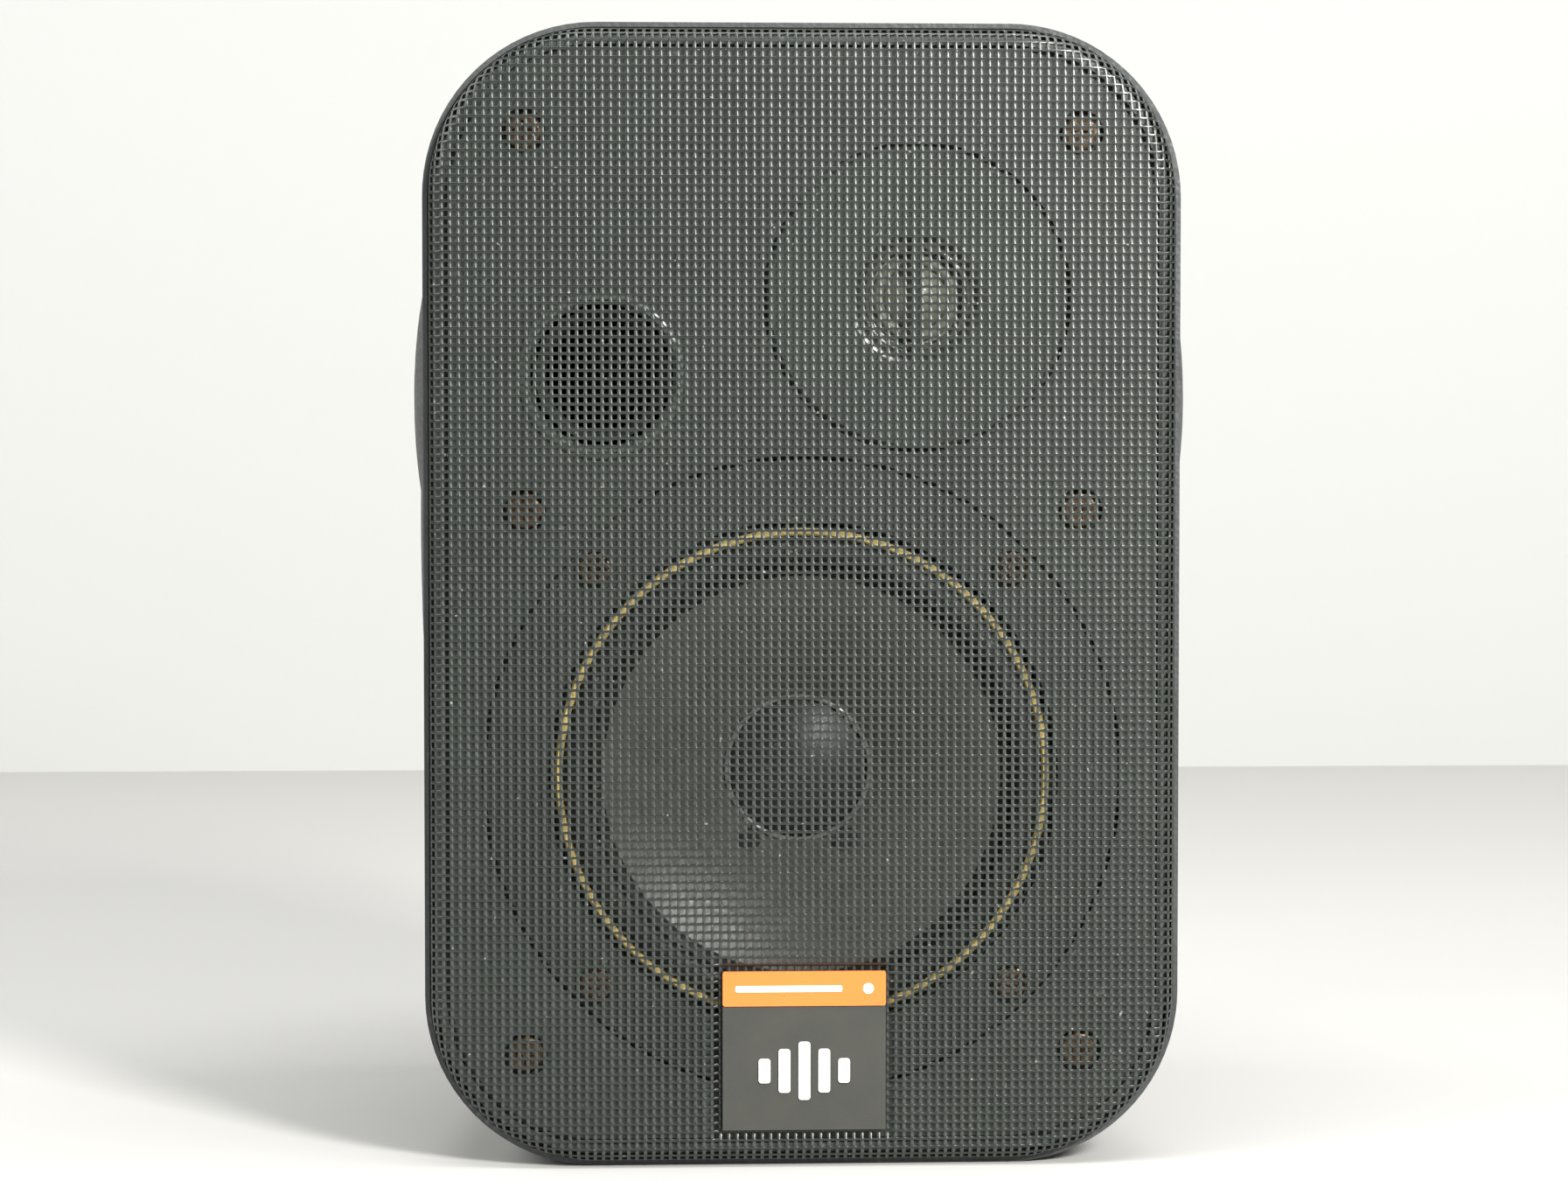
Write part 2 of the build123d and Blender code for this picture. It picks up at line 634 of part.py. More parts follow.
def flare_depth(radius, offset=0.0):
    """The y of the flare at a radius."""
    arc = flare_arc(offset)
    low, high = 0.0, 1.0
    for _ in range(40):
        middle = (low + high) / 2
        if (arc @ middle).X > radius:
            low = middle
        else:
            high = middle
    return (arc @ low).Y


def woofer_cone():
    face = CONE_RIM_FACE
    neck = face + NECK_DEPTH
    edges = [
        flare_arc(0.0),
        Line((NECK_RADIUS, neck), (NECK_RADIUS, neck + PAPER)),
        flare_arc(PAPER),
        Line((CONE_BEND_RADIUS, face + PAPER), (CONE_RADIUS, face + PAPER)),
        Line((CONE_RADIUS, face + PAPER), (CONE_RADIUS, face)),
        Line((CONE_RADIUS, face), (CONE_BEND_RADIUS, face)),
    ]
    return turned(edges, WOOFER)


def domed_skin(centre, radius, rise, thickness, base):
    """A thin spherical cap that bulges to the front from the plane y = base."""
    inner_radius = radius - thickness
    half_way = 0.5 * radius
    curvature = (radius**2 + rise**2) / (2 * rise)
    half_rise = math.sqrt(curvature**2 - half_way**2) - (curvature - rise)
    outer_arc = ThreePointArc((radius, base), (half_way, base - half_rise), (0, base - rise))
    inner_arc = ThreePointArc(
        (0, base - rise + thickness),
        (half_way, base - half_rise + thickness),
        (inner_radius, base),
    )
    edges = [
        outer_arc,
        Line((0, base - rise), (0, base - rise + thickness)),
        inner_arc,
        Line((inner_radius, base), (radius, base)),
    ]
    return turned(edges, centre)


def dust_cap():
    return domed_skin(WOOFER, CAP_RADIUS, CAP_RISE, CAP_PAPER, flare_depth(CAP_RADIUS) - 0.05)


def lead_dabs():
    """Dark dabs of adhesive on the cone, over the ends of the flexible leads."""
    cone = woofer_cone()
    front = flare_depth(DAB_CIRCLE + DAB_RADIUS) - 0.3
    dabs = []
    for x, z in around(WOOFER, DAB_CIRCLE, (180 - DAB_ANGLE, 180 + DAB_ANGLE)):
        dab = disc((x, z), DAB_RADIUS, front, flare_depth(DAB_CIRCLE - DAB_RADIUS) + 0.2)
        dab = dab - cone
        dabs.append(dab.solids().sort_by(Axis.Y)[0])
    return group(dabs)


def voice_coil_former():
    return ring(WOOFER, FORMER_RADIUS + FORMER_WALL, FORMER_RADIUS, FORMER_FRONT, FORMER_BACK)


def voice_coil():
    return ring(WOOFER, COIL_RADIUS, FORMER_RADIUS + FORMER_WALL + 0.02, COIL_FRONT, COIL_BACK)


def woofer_spider():
    """A corrugated disc between the former and the basket's inner landing."""
    inner = FORMER_RADIUS + FORMER_WALL + 0.1
    outer = 37.0
    cloth = 0.4
    first_wave, last_wave, waves = 15.5, 33.5, 4
    half = (last_wave - first_wave) / (2 * waves)
    swing = 1.1

    def wavy(y):
        pieces = [Line((inner, y), (first_wave, y))]
        for i in range(2 * waves):
            start = first_wave + i * half
            way = -1 if i % 2 == 0 else 1
            pieces.append(
                ThreePointArc((start, y), (start + half / 2, y + way * swing), (start + half, y))
            )
        pieces.append(Line((last_wave, y), (outer, y)))
        return pieces

    back = SPIDER_FACE + cloth
    edges = [
        *wavy(SPIDER_FACE),
        Line((outer, SPIDER_FACE), (outer, back)),
        *wavy(back),
        Line((inner, SPIDER_FACE), (inner, back)),
    ]
    return turned(edges, WOOFER)


def woofer_top_plate():
    return ring(WOOFER, PLATE_RADIUS, GAP_RADIUS, MOTOR_FACE, MOTOR_FACE + PLATE_THICKNESS)


MAGNET_FRONT = MOTOR_FACE + PLATE_THICKNESS
MAGNET_BACK = MAGNET_FRONT + MAGNET_LENGTH
BACK_PLATE_BACK = MAGNET_BACK + PLATE_THICKNESS
BUCKING_BACK = BACK_PLATE_BACK + BUCKING_LENGTH


def woofer_magnet():
    return ring(WOOFER, MAGNET_RADIUS, MAGNET_BORE, MAGNET_FRONT, MAGNET_BACK)


def woofer_pole_plate():
    body = disc(WOOFER, PLATE_RADIUS, MAGNET_BACK, BACK_PLATE_BACK)
    return body + disc(WOOFER, POLE_RADIUS, MOTOR_FACE, MAGNET_BACK + 1)


def bucking_magnet():
    return ring(WOOFER, PLATE_RADIUS, 8.0, BACK_PLATE_BACK, BUCKING_BACK)


def shield_can():
    outside = disc(WOOFER, CAN_RADIUS, MOTOR_FACE + 0.5, BUCKING_BACK + CAN_WALL)
    outside = fillet(outside.faces().sort_by(Axis.Y)[-1].edges(), 2.0)
    inside = disc(WOOFER, CAN_RADIUS - CAN_WALL, MOTOR_FACE - 1, BUCKING_BACK)
    return outside - inside


def woofer_tag_strip():
    """The insulating strip outside the basket's lower leg."""
    return block((-19, -56, TAG_TOP), (19, -44, TAG_TOP + 1.4))


def woofer_tags():
    tags = []
    for side in (-1, 1):
        x = side * 13.0
        tags.append(block((x - 3.0, -50.4, TAG_TOP - 8.3), (x + 3.0, -49.6, TAG_TOP)))
    return group(tags)


def woofer_leads():
    """Flexible leads from the cone's dabs, out of the basket's windows, to the tag strip."""
    start_x = DAB_CIRCLE * math.sin(math.radians(DAB_ANGLE))
    start_z = WOOFER[1] - DAB_CIRCLE * math.cos(math.radians(DAB_ANGLE))
    start_y = flare_depth(DAB_CIRCLE, PAPER) + 1.6
    route = [
        (start_x, start_y, start_z),
        (start_x + 3.5, start_y + 2.0, start_z - 8.5),
        (19.5, start_y + 0.5, WOOFER[1] - 34.5),
        (23.5, -51.0, WOOFER[1] - 43.0),
        (22.0, -52.5, TAG_TOP - 1.0),
        (16.7, -50.0, TAG_TOP - 4.5),
    ]
    return mirrored_wires(route, LEAD_RADIUS)


def woofer_screws():
    return group(
        [pan_screw(p, FRAME_FACE, 3.6, 1.9, 8.6, SCREW_RADIUS) for p in frame_screw_places()]
    )


# ================================================================ tweeter
def tweeter_faceplate():
    """The face with its flared mouth, the body behind it, and the bar across the mouth."""
    face = FACEPLATE_FACE
    step = face + 2.2
    edges = [
        Line((MOUTH_RADIUS, face), (FACEPLATE_RADIUS - 0.6, face)),
        Line((FACEPLATE_RADIUS - 0.6, face), (FACEPLATE_RADIUS, face + 0.6)),
        Line((FACEPLATE_RADIUS, face + 0.6), (FACEPLATE_RADIUS, FACEPLATE_SEAT)),
        Line((FACEPLATE_RADIUS, FACEPLATE_SEAT), (TWEETER_BODY_RADIUS, FACEPLATE_SEAT)),
        Line((TWEETER_BODY_RADIUS, FACEPLATE_SEAT), (TWEETER_BODY_RADIUS, TWEETER_BODY_BACK)),
        Line((TWEETER_BODY_RADIUS, TWEETER_BODY_BACK), (TWEETER_RECESS_RADIUS, TWEETER_BODY_BACK)),
        Line((TWEETER_RECESS_RADIUS, TWEETER_BODY_BACK), (TWEETER_RECESS_RADIUS, DIAPHRAGM_SEAT)),
        Line((TWEETER_RECESS_RADIUS, DIAPHRAGM_SEAT), (THROAT_RADIUS, DIAPHRAGM_SEAT)),
        Line((THROAT_RADIUS, DIAPHRAGM_SEAT), (THROAT_RADIUS, DIAPHRAGM_SEAT - 1.1)),
        Line((THROAT_RADIUS, DIAPHRAGM_SEAT - 1.1), (10.3, step + 0.4)),
        Line((10.3, step + 0.4), (THROAT_STEP_RADIUS, step)),
        ThreePointArc((THROAT_STEP_RADIUS, step), (12.3, face + 0.8), (MOUTH_RADIUS, face)),
    ]
    body = turned(edges, TWEETER)
    bar = Rectangle(BRIDGE_WIDTH, 2 * MOUTH_RADIUS + 1.0)
    return body + plate(bar, face + 0.15, face + 1.15, *TWEETER)


def tweeter_lock_ring():
    return ring(TWEETER, 28.0, TWEETER_BODY_RADIUS + 0.05, BAFFLE_BACK, BAFFLE_BACK + 3.0)


def tweeter_dome():
    return domed_skin(TWEETER, DOME_RADIUS, DOME_RISE, DOME_SKIN, DIAPHRAGM_SEAT)


def tweeter_surround():
    """The roll round the dome and the flange under the faceplate."""
    seat = DIAPHRAGM_SEAT
    skin = 0.3
    inner, outer = DOME_RADIUS + 0.1, 9.1
    middle = (inner + outer) / 2
    rise = (outer - inner) / 2
    edges = [
        ThreePointArc((inner, seat), (middle, seat - rise), (outer, seat)),
        Line((outer, seat), (TWEETER_SEAL_RADIUS, seat)),
        Line((TWEETER_SEAL_RADIUS, seat), (TWEETER_SEAL_RADIUS, seat + skin)),
        Line((TWEETER_SEAL_RADIUS, seat + skin), (outer - 0.1, seat + skin)),
        ThreePointArc((outer - 0.1, seat + skin), (middle, seat - rise + skin), (inner + 0.1, seat + skin)),
        Line((inner + 0.1, seat + skin), (inner, seat)),
    ]
    return turned(edges, TWEETER)


def tweeter_coil():
    return ring(TWEETER, DOME_RADIUS - 0.02, TWEETER_COIL_INNER, DIAPHRAGM_SEAT + 0.02, DIAPHRAGM_SEAT + 5.6)


def tweeter_top_plate():
    back = TWEETER_BODY_BACK + TWEETER_PLATE
    return ring(TWEETER, TWEETER_PLATE_RADIUS, TWEETER_GAP_RADIUS, TWEETER_BODY_BACK, back)


def tweeter_magnet():
    front = TWEETER_BODY_BACK + TWEETER_PLATE
    return ring(TWEETER, TWEETER_PLATE_RADIUS, 10.0, front, front + TWEETER_MAGNET_LENGTH)


def tweeter_back_plate():
    front = TWEETER_BODY_BACK + TWEETER_PLATE + TWEETER_MAGNET_LENGTH
    body = disc(TWEETER, TWEETER_PLATE_RADIUS, front, front + TWEETER_PLATE)
    return body + disc(TWEETER, TWEETER_POLE_RADIUS, TWEETER_BODY_BACK + 0.2, front + 1)


def tweeter_tags():
    front = TWEETER_BODY_BACK + 2 * TWEETER_PLATE + TWEETER_MAGNET_LENGTH
    x, z = TWEETER
    tags = []
    for side in (-1, 1):
        middle = x + side * 6.0
        tags.append(block((middle - 2.4, front, z - 0.4), (middle + 2.4, front + 7.0, z + 0.4)))
    return group(tags)


# ================================================================ crossover
def crossover_board():
    body = block(
        (-BOARD_WIDTH / 2, BOARD_FACE, BOARD_BOTTOM),
        (BOARD_WIDTH / 2, BOARD_FACE + BOARD_THICKNESS, BOARD_TOP),
    )
    for place in board_screw_places():
        body -= disc(place, SMALL_SCREW_HOLE, BOARD_FACE - 1, BOARD_FACE + 3)
    return body


def board_screws():
    return group([pan_screw(p, BOARD_FACE, 2.7, 1.6, 8.5, 1.2) for p in board_screw_places()])


COMPONENT_BACK = BOARD_FACE - COMPONENT_GAP


def woofer_inductor():
    return ring((-19, 170), 13.0, 5.0, COMPONENT_BACK - 14.0, COMPONENT_BACK)


def tweeter_inductor():
    return ring((7, 175.5), 9.0, 4.0, COMPONENT_BACK - 10.0, COMPONENT_BACK)


def crossover_capacitors():
    upright = Pos(26, COMPONENT_BACK - 6.0, 172) * Cylinder(6.0, 24)
    lying = Pos(17.5, COMPONENT_BACK - 5.5, 152) * Rot(0, 90, 0) * Cylinder(5.5, 19)
    return group([upright, lying])


def crossover_resistor():
    return block((-4, COMPONENT_BACK - 7.0, 158.3), (16, COMPONENT_BACK, 165.3))


def protection_lamp():
    bulb = Pos(-13, COMPONENT_BACK - 4.2, 149.8) * Rot(0, 90, 0) * Cylinder(3.6, 22)
    return fillet(bulb.edges(), 2.0)


# ================================================================ rear terminal
def flange_outline():
    return RectangleRounded(FLANGE_WIDTH, FLANGE_HEIGHT, FLANGE_CORNER)


def cup_outline(margin=0.0):
    """The cup's rounded rectangle, moved out by margin."""
    return RectangleRounded(CUP_WIDTH + 2 * margin, CUP_HEIGHT + 2 * margin, CUP_CORNER + margin)


def terminal_cup():
    flange_front = BACK - FLANGE_POCKET + CUP_SEAL
    flange_back = flange_front + FLANGE_THICKNESS
    body = plate(flange_outline(), flange_front, flange_back, *CUP)
    body += plate(cup_outline(), CUP_FLOOR - CUP_WALL, flange_back, *CUP)
    body -= plate(cup_outline(-CUP_WALL), CUP_FLOOR, flange_back + 1, *CUP)
    for place in cup_screw_places():
        body -= disc(place, SMALL_SCREW_HOLE, flange_front - 1, flange_back + 1)
        body -= disc(place, 2.9, flange_back - CUP_SCREW_SINK, flange_back + 1)
    for side in (-1, 1):
        body -= contact_slot(side)
    return body


def contact_slot(side):
    x = side * LEVER_X
    half = CONTACT_WIDTH / 2 + 0.1
    rise = CONTACT_THICKNESS / 2 + 0.1
    near = (x - half, CUP_FLOOR - 5, WIRE_HOLE_HEIGHT - rise)
    far = (x + half, 56.0, WIRE_HOLE_HEIGHT + rise)
    return block(near, far)


def terminal_gasket():
    front = BACK - FLANGE_POCKET
    body = plate(flange_outline(), front, front + CUP_SEAL, *CUP)
    body -= plate(cup_outline(CUP_CLEARANCE), front - 1, front + 2, *CUP)
    for place in cup_screw_places():
        body -= disc(place, SMALL_SCREW_HOLE, front - 1, front + 2)
    return body


def terminal_screws():
    seat = BACK - FLANGE_POCKET + CUP_SEAL + FLANGE_THICKNESS - CUP_SCREW_SINK
    return group(
        [pan_screw(p, seat, 2.7, 1.25, 9.0, 1.3, towards_back=False) for p in cup_screw_places()]
    )


def terminal_block():
    """The moulded block with two lever slots, the pivot bores and the wire holes."""
    body = block((-BLOCK_HALF_WIDTH, CUP_FLOOR, BLOCK_BOTTOM), (BLOCK_HALF_WIDTH, BLOCK_FACE, BLOCK_TOP))
    body = fillet(body.edges().filter_by(Axis.Y), 1.5)
    pivot_y, pivot_z = LEVER_PIVOT
    for side in (-1, 1):
        x = side * LEVER_X
        half = SLOT_WIDTH / 2
        body -= block((x - half, SLOT_FLOOR, SLOT_BOTTOM), (x + half, BLOCK_FACE + 1, SLOT_TOP))
        bore = Cylinder(PIVOT_BORE, SLOT_WIDTH + 2 * PIVOT_REACH + 0.4)
        bore = Pos(x, pivot_y, pivot_z) * Rot(0, 90, 0) * bore
        body -= bore
        hole_floor = BLOCK_FACE - WIRE_HOLE_DEPTH
        body -= disc((x, WIRE_HOLE_HEIGHT), WIRE_HOLE_RADIUS, hole_floor, BLOCK_FACE + 1)
        body -= contact_slot(side)
    return body


def lever(side):
    """A push lever with its pivot; the pad stands proud of the block."""
    x = side * LEVER_X
    y, z = LEVER_PIVOT
    outline_points = [
        (y + 0.5, z - 2.8),
        (y + 6.4, z - 2.8),
        (y + 7.2, z - 1.6),
        (y + 6.6, z + 6.0),
        (y + 7.4, z + 14.2),
        (y + 6.6, z + 15.4),
        (y + 3.0, z + 15.4),
        (y - 1.6, z + 2.0),
    ]
    half = LEVER_WIDTH / 2
    body = side_profile(outline_points, x - half, x + half)
    across = Pos(x, y, z) * Rot(0, 90, 0)
    body += across * Cylinder(2.8, LEVER_WIDTH)
    body += across * Cylinder(PIVOT_RADIUS, SLOT_WIDTH + 2 * PIVOT_REACH)
    for rise in (9.0, 10.8, 12.6):
        body -= block((x - 4.2, y + 6.7, z + rise), (x + 4.2, y + 9, z + rise + 0.8))
    return body


def lever_spring(side):
    """A bent leaf between the slot's floor and the lever."""
    x = side * LEVER_X
    floor = SLOT_FLOOR + 0.25
    line = [(floor, 63.0), (floor, 73.0), (floor + 1.2, 74.0), (60.0, 64.6)]
    return strip_spring(line, 0.4, x - 3.5, x + 3.5)


def wire_contacts():
    strips = []
    half_rise = CONTACT_THICKNESS / 2
    for side in (-1, 1):
        x = side * LEVER_X
        strips.append(
            block(
                (x - CONTACT_WIDTH / 2, 40.0, WIRE_HOLE_HEIGHT - half_rise),
                (x + CONTACT_WIDTH / 2, 55.9, WIRE_HOLE_HEIGHT + half_rise),
            )
        )
    return group(strips)


def mount_insert():
    return ring(INSERT, INSERT_RADIUS, INSERT_BORE, BACK - INSERT_LENGTH, BACK - 0.1)


# ================================================================ wiring inside the cabinet
def input_wires():
    cup_side = [
        (11.0, 39.9, WIRE_HOLE_HEIGHT),
        (11.0, 33.0, WIRE_HOLE_HEIGHT + 0.4),
        (11.3, 27.5, 62.0),
        (11.0, 29.0, 85.0),
        (10.0, 38.0, 112.0),
    ]
    board_side = [(9.5, 47.0, 137.0), (9.0, 50.0, 143.2), (9.0, COMPONENT_BACK, 143.2)]
    return mirrored_wires(
        [*cup_side, *board_side],
        WIRE_RADIUS,
    )


def woofer_wires():
    return mirrored_wires(
        [
            (13.0, -50.0, TAG_TOP - 8.7),
            (13.6, -47.5, 15.5),
            (18.0, -34.0, 14.0),
            (25.0, -12.0, 15.0),
            (29.0, 10.0, 22.0),
            (30.0, 21.0, 48.0),
            (29.0, 25.0, 85.0),
            (26.0, 36.0, 118.0),
            (22.0, 46.0, 136.0),
            (20.0, 49.5, 142.5),
            (20.0, 54.9, 142.5),
        ],
        WIRE_RADIUS,
    )


def tweeter_wires():
    start_y = TWEETER_BODY_BACK + 21.1
    end_x = 33.8
    wires = []
    for x, bend_x, end_z in ((17.5, 31.0, 152.0), (29.5, 36.0, 155.6)):
        drop = end_z - 152.0
        route = [
            (x, start_y, TWEETER[1]),
            (x, start_y + 9.0, TWEETER[1] - 0.6),
            (x + 6.0, -6.0, 181.0 - drop),
            (x + 9.0, 16.0, 178.0 - drop),
            (bend_x, 33.0, 166.0),
            (end_x, 44.0, end_z + 2.0),
            (end_x, 49.0, end_z),
            (end_x, COMPONENT_BACK, end_z),
        ]
        wires.append(wire(route, WIRE_RADIUS))
    return group(wires)


# ================================================================ every node, by name
NODES = {
    "rear_cabinet": rear_cabinet,
    "baffle_gasket": baffle_gasket,
    "front_baffle": front_baffle,
    "baffle_screws": baffle_screws,
    "port_tube": port_tube,
    "damping_pad": damping_pad,
    "grille": grille,
    "badge_plate": badge_plate,
    "badge_strip": badge_strip,
    "badge_mark": badge_mark,
    "badge_rule": badge_rule,
    "woofer_basket": woofer_basket,
    "woofer_gasket": woofer_gasket,
    "surround_bead": surround_bead,
    "woofer_surround": woofer_surround,
    "woofer_cone": woofer_cone,
    "dust_cap": dust_cap,
    "lead_dabs": lead_dabs,
    "voice_coil_former": voice_coil_former,
    "voice_coil": voice_coil,
    "woofer_spider": woofer_spider,
    "woofer_top_plate": woofer_top_plate,
    "woofer_magnet": woofer_magnet,
    "woofer_pole_plate": woofer_pole_plate,
    "bucking_magnet": bucking_magnet,
    "shield_can": shield_can,
    "woofer_tag_strip": woofer_tag_strip,
    "woofer_tags": woofer_tags,
    "woofer_leads": woofer_leads,
    "woofer_screws": woofer_screws,
    "tweeter_faceplate": tweeter_faceplate,
    "tweeter_lock_ring": tweeter_lock_ring,
    "tweeter_dome": tweeter_dome,
    "tweeter_surround": tweeter_surround,
    "tweeter_coil": tweeter_coil,
    "tweeter_top_plate": tweeter_top_plate,
    "tweeter_magnet": tweeter_magnet,
    "tweeter_back_plate": tweeter_back_plate,
    "tweeter_tags": tweeter_tags,
    "crossover_board": crossover_board,
    "board_screws": board_screws,
    "woofer_inductor": woofer_inductor,
    "tweeter_inductor": tweeter_inductor,
    "crossover_capacitors": crossover_capacitors,
    "crossover_resistor": crossover_resistor,
    "protection_lamp": protection_lamp,
    "terminal_cup": terminal_cup,
    "terminal_gasket": terminal_gasket,
    "terminal_screws": terminal_screws,
    "terminal_block": terminal_block,
    "lever_red": lambda: lever(1),
    "lever_black": lambda: lever(-1),
    "lever_spring_red": lambda: lever_spring(1),
    "lever_spring_black": lambda: lever_spring(-1),
    "wire_contacts": wire_contacts,
    "mount_insert": mount_insert,
    "input_wires": input_wires,
    "woofer_wires": woofer_wires,
    "tweeter_wires": tweeter_wires,
}

os.makedirs("parts", exist_ok=True)
for name, build in NODES.items():
    export_step(build(), f"parts/{name}.step")
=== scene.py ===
import json
import math

import bmesh
import bpy
import numpy as np
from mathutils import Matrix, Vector


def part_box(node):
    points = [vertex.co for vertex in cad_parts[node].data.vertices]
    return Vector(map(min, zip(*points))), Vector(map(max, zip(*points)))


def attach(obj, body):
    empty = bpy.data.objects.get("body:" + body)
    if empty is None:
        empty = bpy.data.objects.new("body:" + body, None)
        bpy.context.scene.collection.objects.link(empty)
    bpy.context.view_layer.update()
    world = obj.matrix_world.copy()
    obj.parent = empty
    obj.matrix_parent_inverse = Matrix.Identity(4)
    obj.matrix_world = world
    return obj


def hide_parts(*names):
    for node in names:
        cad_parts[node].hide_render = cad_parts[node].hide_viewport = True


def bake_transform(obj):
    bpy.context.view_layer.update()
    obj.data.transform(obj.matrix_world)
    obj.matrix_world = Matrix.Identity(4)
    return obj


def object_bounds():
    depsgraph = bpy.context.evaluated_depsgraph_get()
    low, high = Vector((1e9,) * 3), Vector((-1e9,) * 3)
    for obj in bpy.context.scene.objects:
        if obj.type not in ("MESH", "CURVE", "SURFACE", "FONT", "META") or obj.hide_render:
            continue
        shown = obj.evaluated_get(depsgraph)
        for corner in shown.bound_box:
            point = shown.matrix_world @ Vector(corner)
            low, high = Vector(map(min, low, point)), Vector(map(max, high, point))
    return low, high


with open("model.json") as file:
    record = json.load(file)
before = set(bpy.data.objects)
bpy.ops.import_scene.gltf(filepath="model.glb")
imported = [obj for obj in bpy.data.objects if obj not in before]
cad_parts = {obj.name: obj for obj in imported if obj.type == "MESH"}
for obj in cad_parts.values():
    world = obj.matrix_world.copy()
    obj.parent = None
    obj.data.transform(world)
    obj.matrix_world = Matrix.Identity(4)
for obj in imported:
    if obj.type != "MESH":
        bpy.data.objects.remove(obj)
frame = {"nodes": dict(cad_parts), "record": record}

# Looks of the bookshelf speaker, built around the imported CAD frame.
CAD_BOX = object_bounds()
NODES = frame["nodes"]
MM = 0.001


# ================================================================ small helpers
def middle(node):
    low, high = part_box(node)
    return (low + high) / 2


def mesh_piece(name, vertices, faces, smooth=True):
    """A new mesh object from vertices in metres and faces."""
    mesh = bpy.data.meshes.new(name)
    mesh.from_pydata([tuple(v) for v in vertices], [], [tuple(f) for f in faces])
    mesh.update()
    if smooth:
        mesh.shade_smooth()
    piece = bpy.data.objects.new(name, mesh)
    bpy.context.scene.collection.objects.link(piece)
    return piece


def paint(piece, material):
    piece.data.materials.clear()
    piece.data.materials.append(material)
    return piece


def smoothstep(value):
    value = np.clip(value, 0.0, 1.0)
    return value * value * (3.0 - 2.0 * value)


